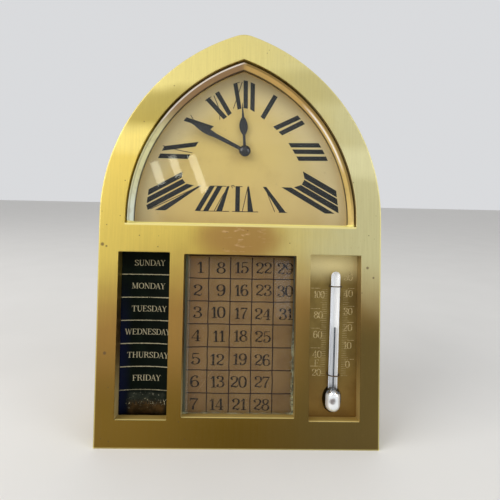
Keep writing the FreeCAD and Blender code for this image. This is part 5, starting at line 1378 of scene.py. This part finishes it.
# The enamel strip is a half shell down the back of the tube, closed by a small dome at its top.
tube_low = Vector((47.53, 4.0, 29.0))
tube_lean = math.radians(1.05)
strip_radius, strip_wall = 2.3, 0.35
strip_run, strip_wrap = 56.4, 88
run_rings, dome_rings, arc_steps = 24, 8, 12
across_tube = Vector((math.cos(tube_lean), 0.0, -math.sin(tube_lean)))
along_tube = Vector((math.sin(tube_lean), 0.0, math.cos(tube_lean)))
behind_tube = Vector((0.0, 1.0, 0.0))
rises = [(strip_run * step / run_rings, 1.0) for step in range(run_rings + 1)]
for step in range(1, dome_rings + 1):
    dome_turn = math.pi / 2 * step / dome_rings
    rises.append((strip_run + strip_radius * math.sin(dome_turn), max(math.cos(dome_turn), 0.12)))
wraps = [math.radians(-strip_wrap + 2 * strip_wrap * k / arc_steps) for k in range(arc_steps + 1)]
mesh = bmesh.new()
rings = []
for rise, share in rises:
    outside = [(strip_radius * share, turn) for turn in wraps]
    inside = [((strip_radius - strip_wall) * share, turn) for turn in reversed(wraps)]
    rings.append([
        mesh.verts.new(
            tube_low + across_tube * (wall * math.sin(turn)) + behind_tube * (wall * math.cos(turn))
            + along_tube * rise
        )
        for wall, turn in outside + inside
    ])
for low, high in zip(rings, rings[1:]):
    for k in range(len(low)):
        face = mesh.faces.new((low[k], low[(k + 1) % len(low)], high[(k + 1) % len(low)], high[k]))
        face.smooth = True
mesh.faces.new(rings[0][::-1])
mesh.faces.new(rings[-1])
white_enamel, shade = bare_material("white_enamel")
place = on_plate(shade)
# Painted shade: the left side of the strip is bluish.
painted_blue_shade = fade(axis(place, "X"), 49.2, 46.8) * 0.5 + mottle(place, 3.0, 2.0) * 0.1
close_material(shade, {
    "Base Color": mix(painted_blue_shade, (0.985, 0.985, 0.98), (0.80, 0.86, 0.97)),
    "Roughness": 0.25,
    "Coat Weight": 0.6,
    "Coat Roughness": 0.08,
})
drawn_piece("tube_enamel", mesh, white_enamel)
dark_wire, shade = bare_material("dark_wire")
place = on_plate(shade)
close_material(shade, {
    "Base Color": mix(mottle(place, 0.8, 3.0), (0.05, 0.035, 0.02), (0.16, 0.11, 0.06)),
    "Metallic": 0.8,
    "Roughness": 0.42,
})
dress(dark_wire, "thermometer_clips", "thermometer_screws")


# The case behind the plate: a bent brass band, a brass back cover screwed on, and the brackets, the
# strut and the movement inside and behind it. Its brass is duller than the face and never polished.
def plain_brass(name, fresh, dull, rough, grain_stretch, edge_radius=0.2):
    """Rolled or cast brass with its own tone, grain and tarnish."""
    material, shade = bare_material(name)
    place = on_plate(shade)
    tarnish = fade(mottle(place, 17.0, 4.0, 0.6), 0.35, 0.75)
    grain = mottle(place, 0.25, 2.0, 0.6, stretch=grain_stretch)
    colour = mix(tarnish, fresh, dull)
    colour = mix(fade(mottle(place, 2.0, 4.0, 0.65), 0.6, 0.75) * 0.3, colour, [c * 0.4 for c in dull])
    close_material(shade, {
        "Base Color": colour,
        "Metallic": 1.0,
        "Roughness": rough + tarnish * 0.12 + grain * 0.08,
        "Normal": bumps(grain, 0.008, rounded_edges(shade, edge_radius)),
    })
    return material


dress(
    plain_brass("case_brass", (0.62, 0.43, 0.13), (0.42, 0.30, 0.12), 0.30, (1, 1, 40)),
    "case_band", "dial_spacer",
)
dress(
    plain_brass("cover_brass", (0.64, 0.45, 0.14), (0.46, 0.32, 0.12), 0.28, (40, 1, 1)),
    "back_cover", "calendar_backing", "roller_brackets",
)
dress(
    plain_brass("strut_brass", (0.66, 0.46, 0.14), (0.48, 0.33, 0.12), 0.30, (1, 1, 30)),
    "strut_leg", "strut_hinge_plate",
)
dress(
    plain_brass("movement_brass", (0.76, 0.56, 0.20), (0.64, 0.46, 0.17), 0.20, (12, 1, 1), 0.08),
    "movement_front_plate", "movement_back_plate", "plate_pillars", "cannon_pinion", "minute_wheel",
    "hour_wheel", "centre_wheel", "third_wheel", "fourth_wheel", "escape_wheel", "balance_wheel",
    "mainspring_barrel", "barrel_lid", "balance_bush", "regulator_lever",
)
dress(
    plain_brass("knurled_brass", (0.72, 0.52, 0.17), (0.50, 0.35, 0.12), 0.22, (1, 1, 1), 0.08),
    "set_hands_knob", "day_thumbwheel",
)


# The steel parts: arbors, screws and the click are turned or filed from steel and polished, and the
# springs are blued over a flame.
def plain_steel(name, light, dark, rough):
    """Polished steel with a film of old oil."""
    material, shade = bare_material(name)
    place = on_plate(shade)
    film = fade(mottle(place, 2.5, 4.0, 0.6), 0.45, 0.75)
    close_material(shade, {
        "Base Color": mix(film, light, dark),
        "Metallic": 1.0,
        "Roughness": rough + film * 0.15,
        "Normal": bumps(mottle(place, 0.3, 2.0), 0.004, rounded_edges(shade, 0.06)),
    })
    return material


dress(
    plain_steel("blued_spring", (0.07, 0.10, 0.26), (0.12, 0.11, 0.16), 0.25),
    "mainspring", "hairspring", "click_spring",
)
dress(
    plain_steel("bright_steel", (0.62, 0.61, 0.59), (0.42, 0.39, 0.35), 0.22),
    "card_screws", "back_cover_screws", "movement_screws", "minute_wheel_post", "centre_arbor",
    "pallet_fork", "pillar_screws", "barrel_arbor", "ratchet_wheel", "ratchet_click", "click_screw",
    "winding_key", "strut_pin", "hinge_screws",
)
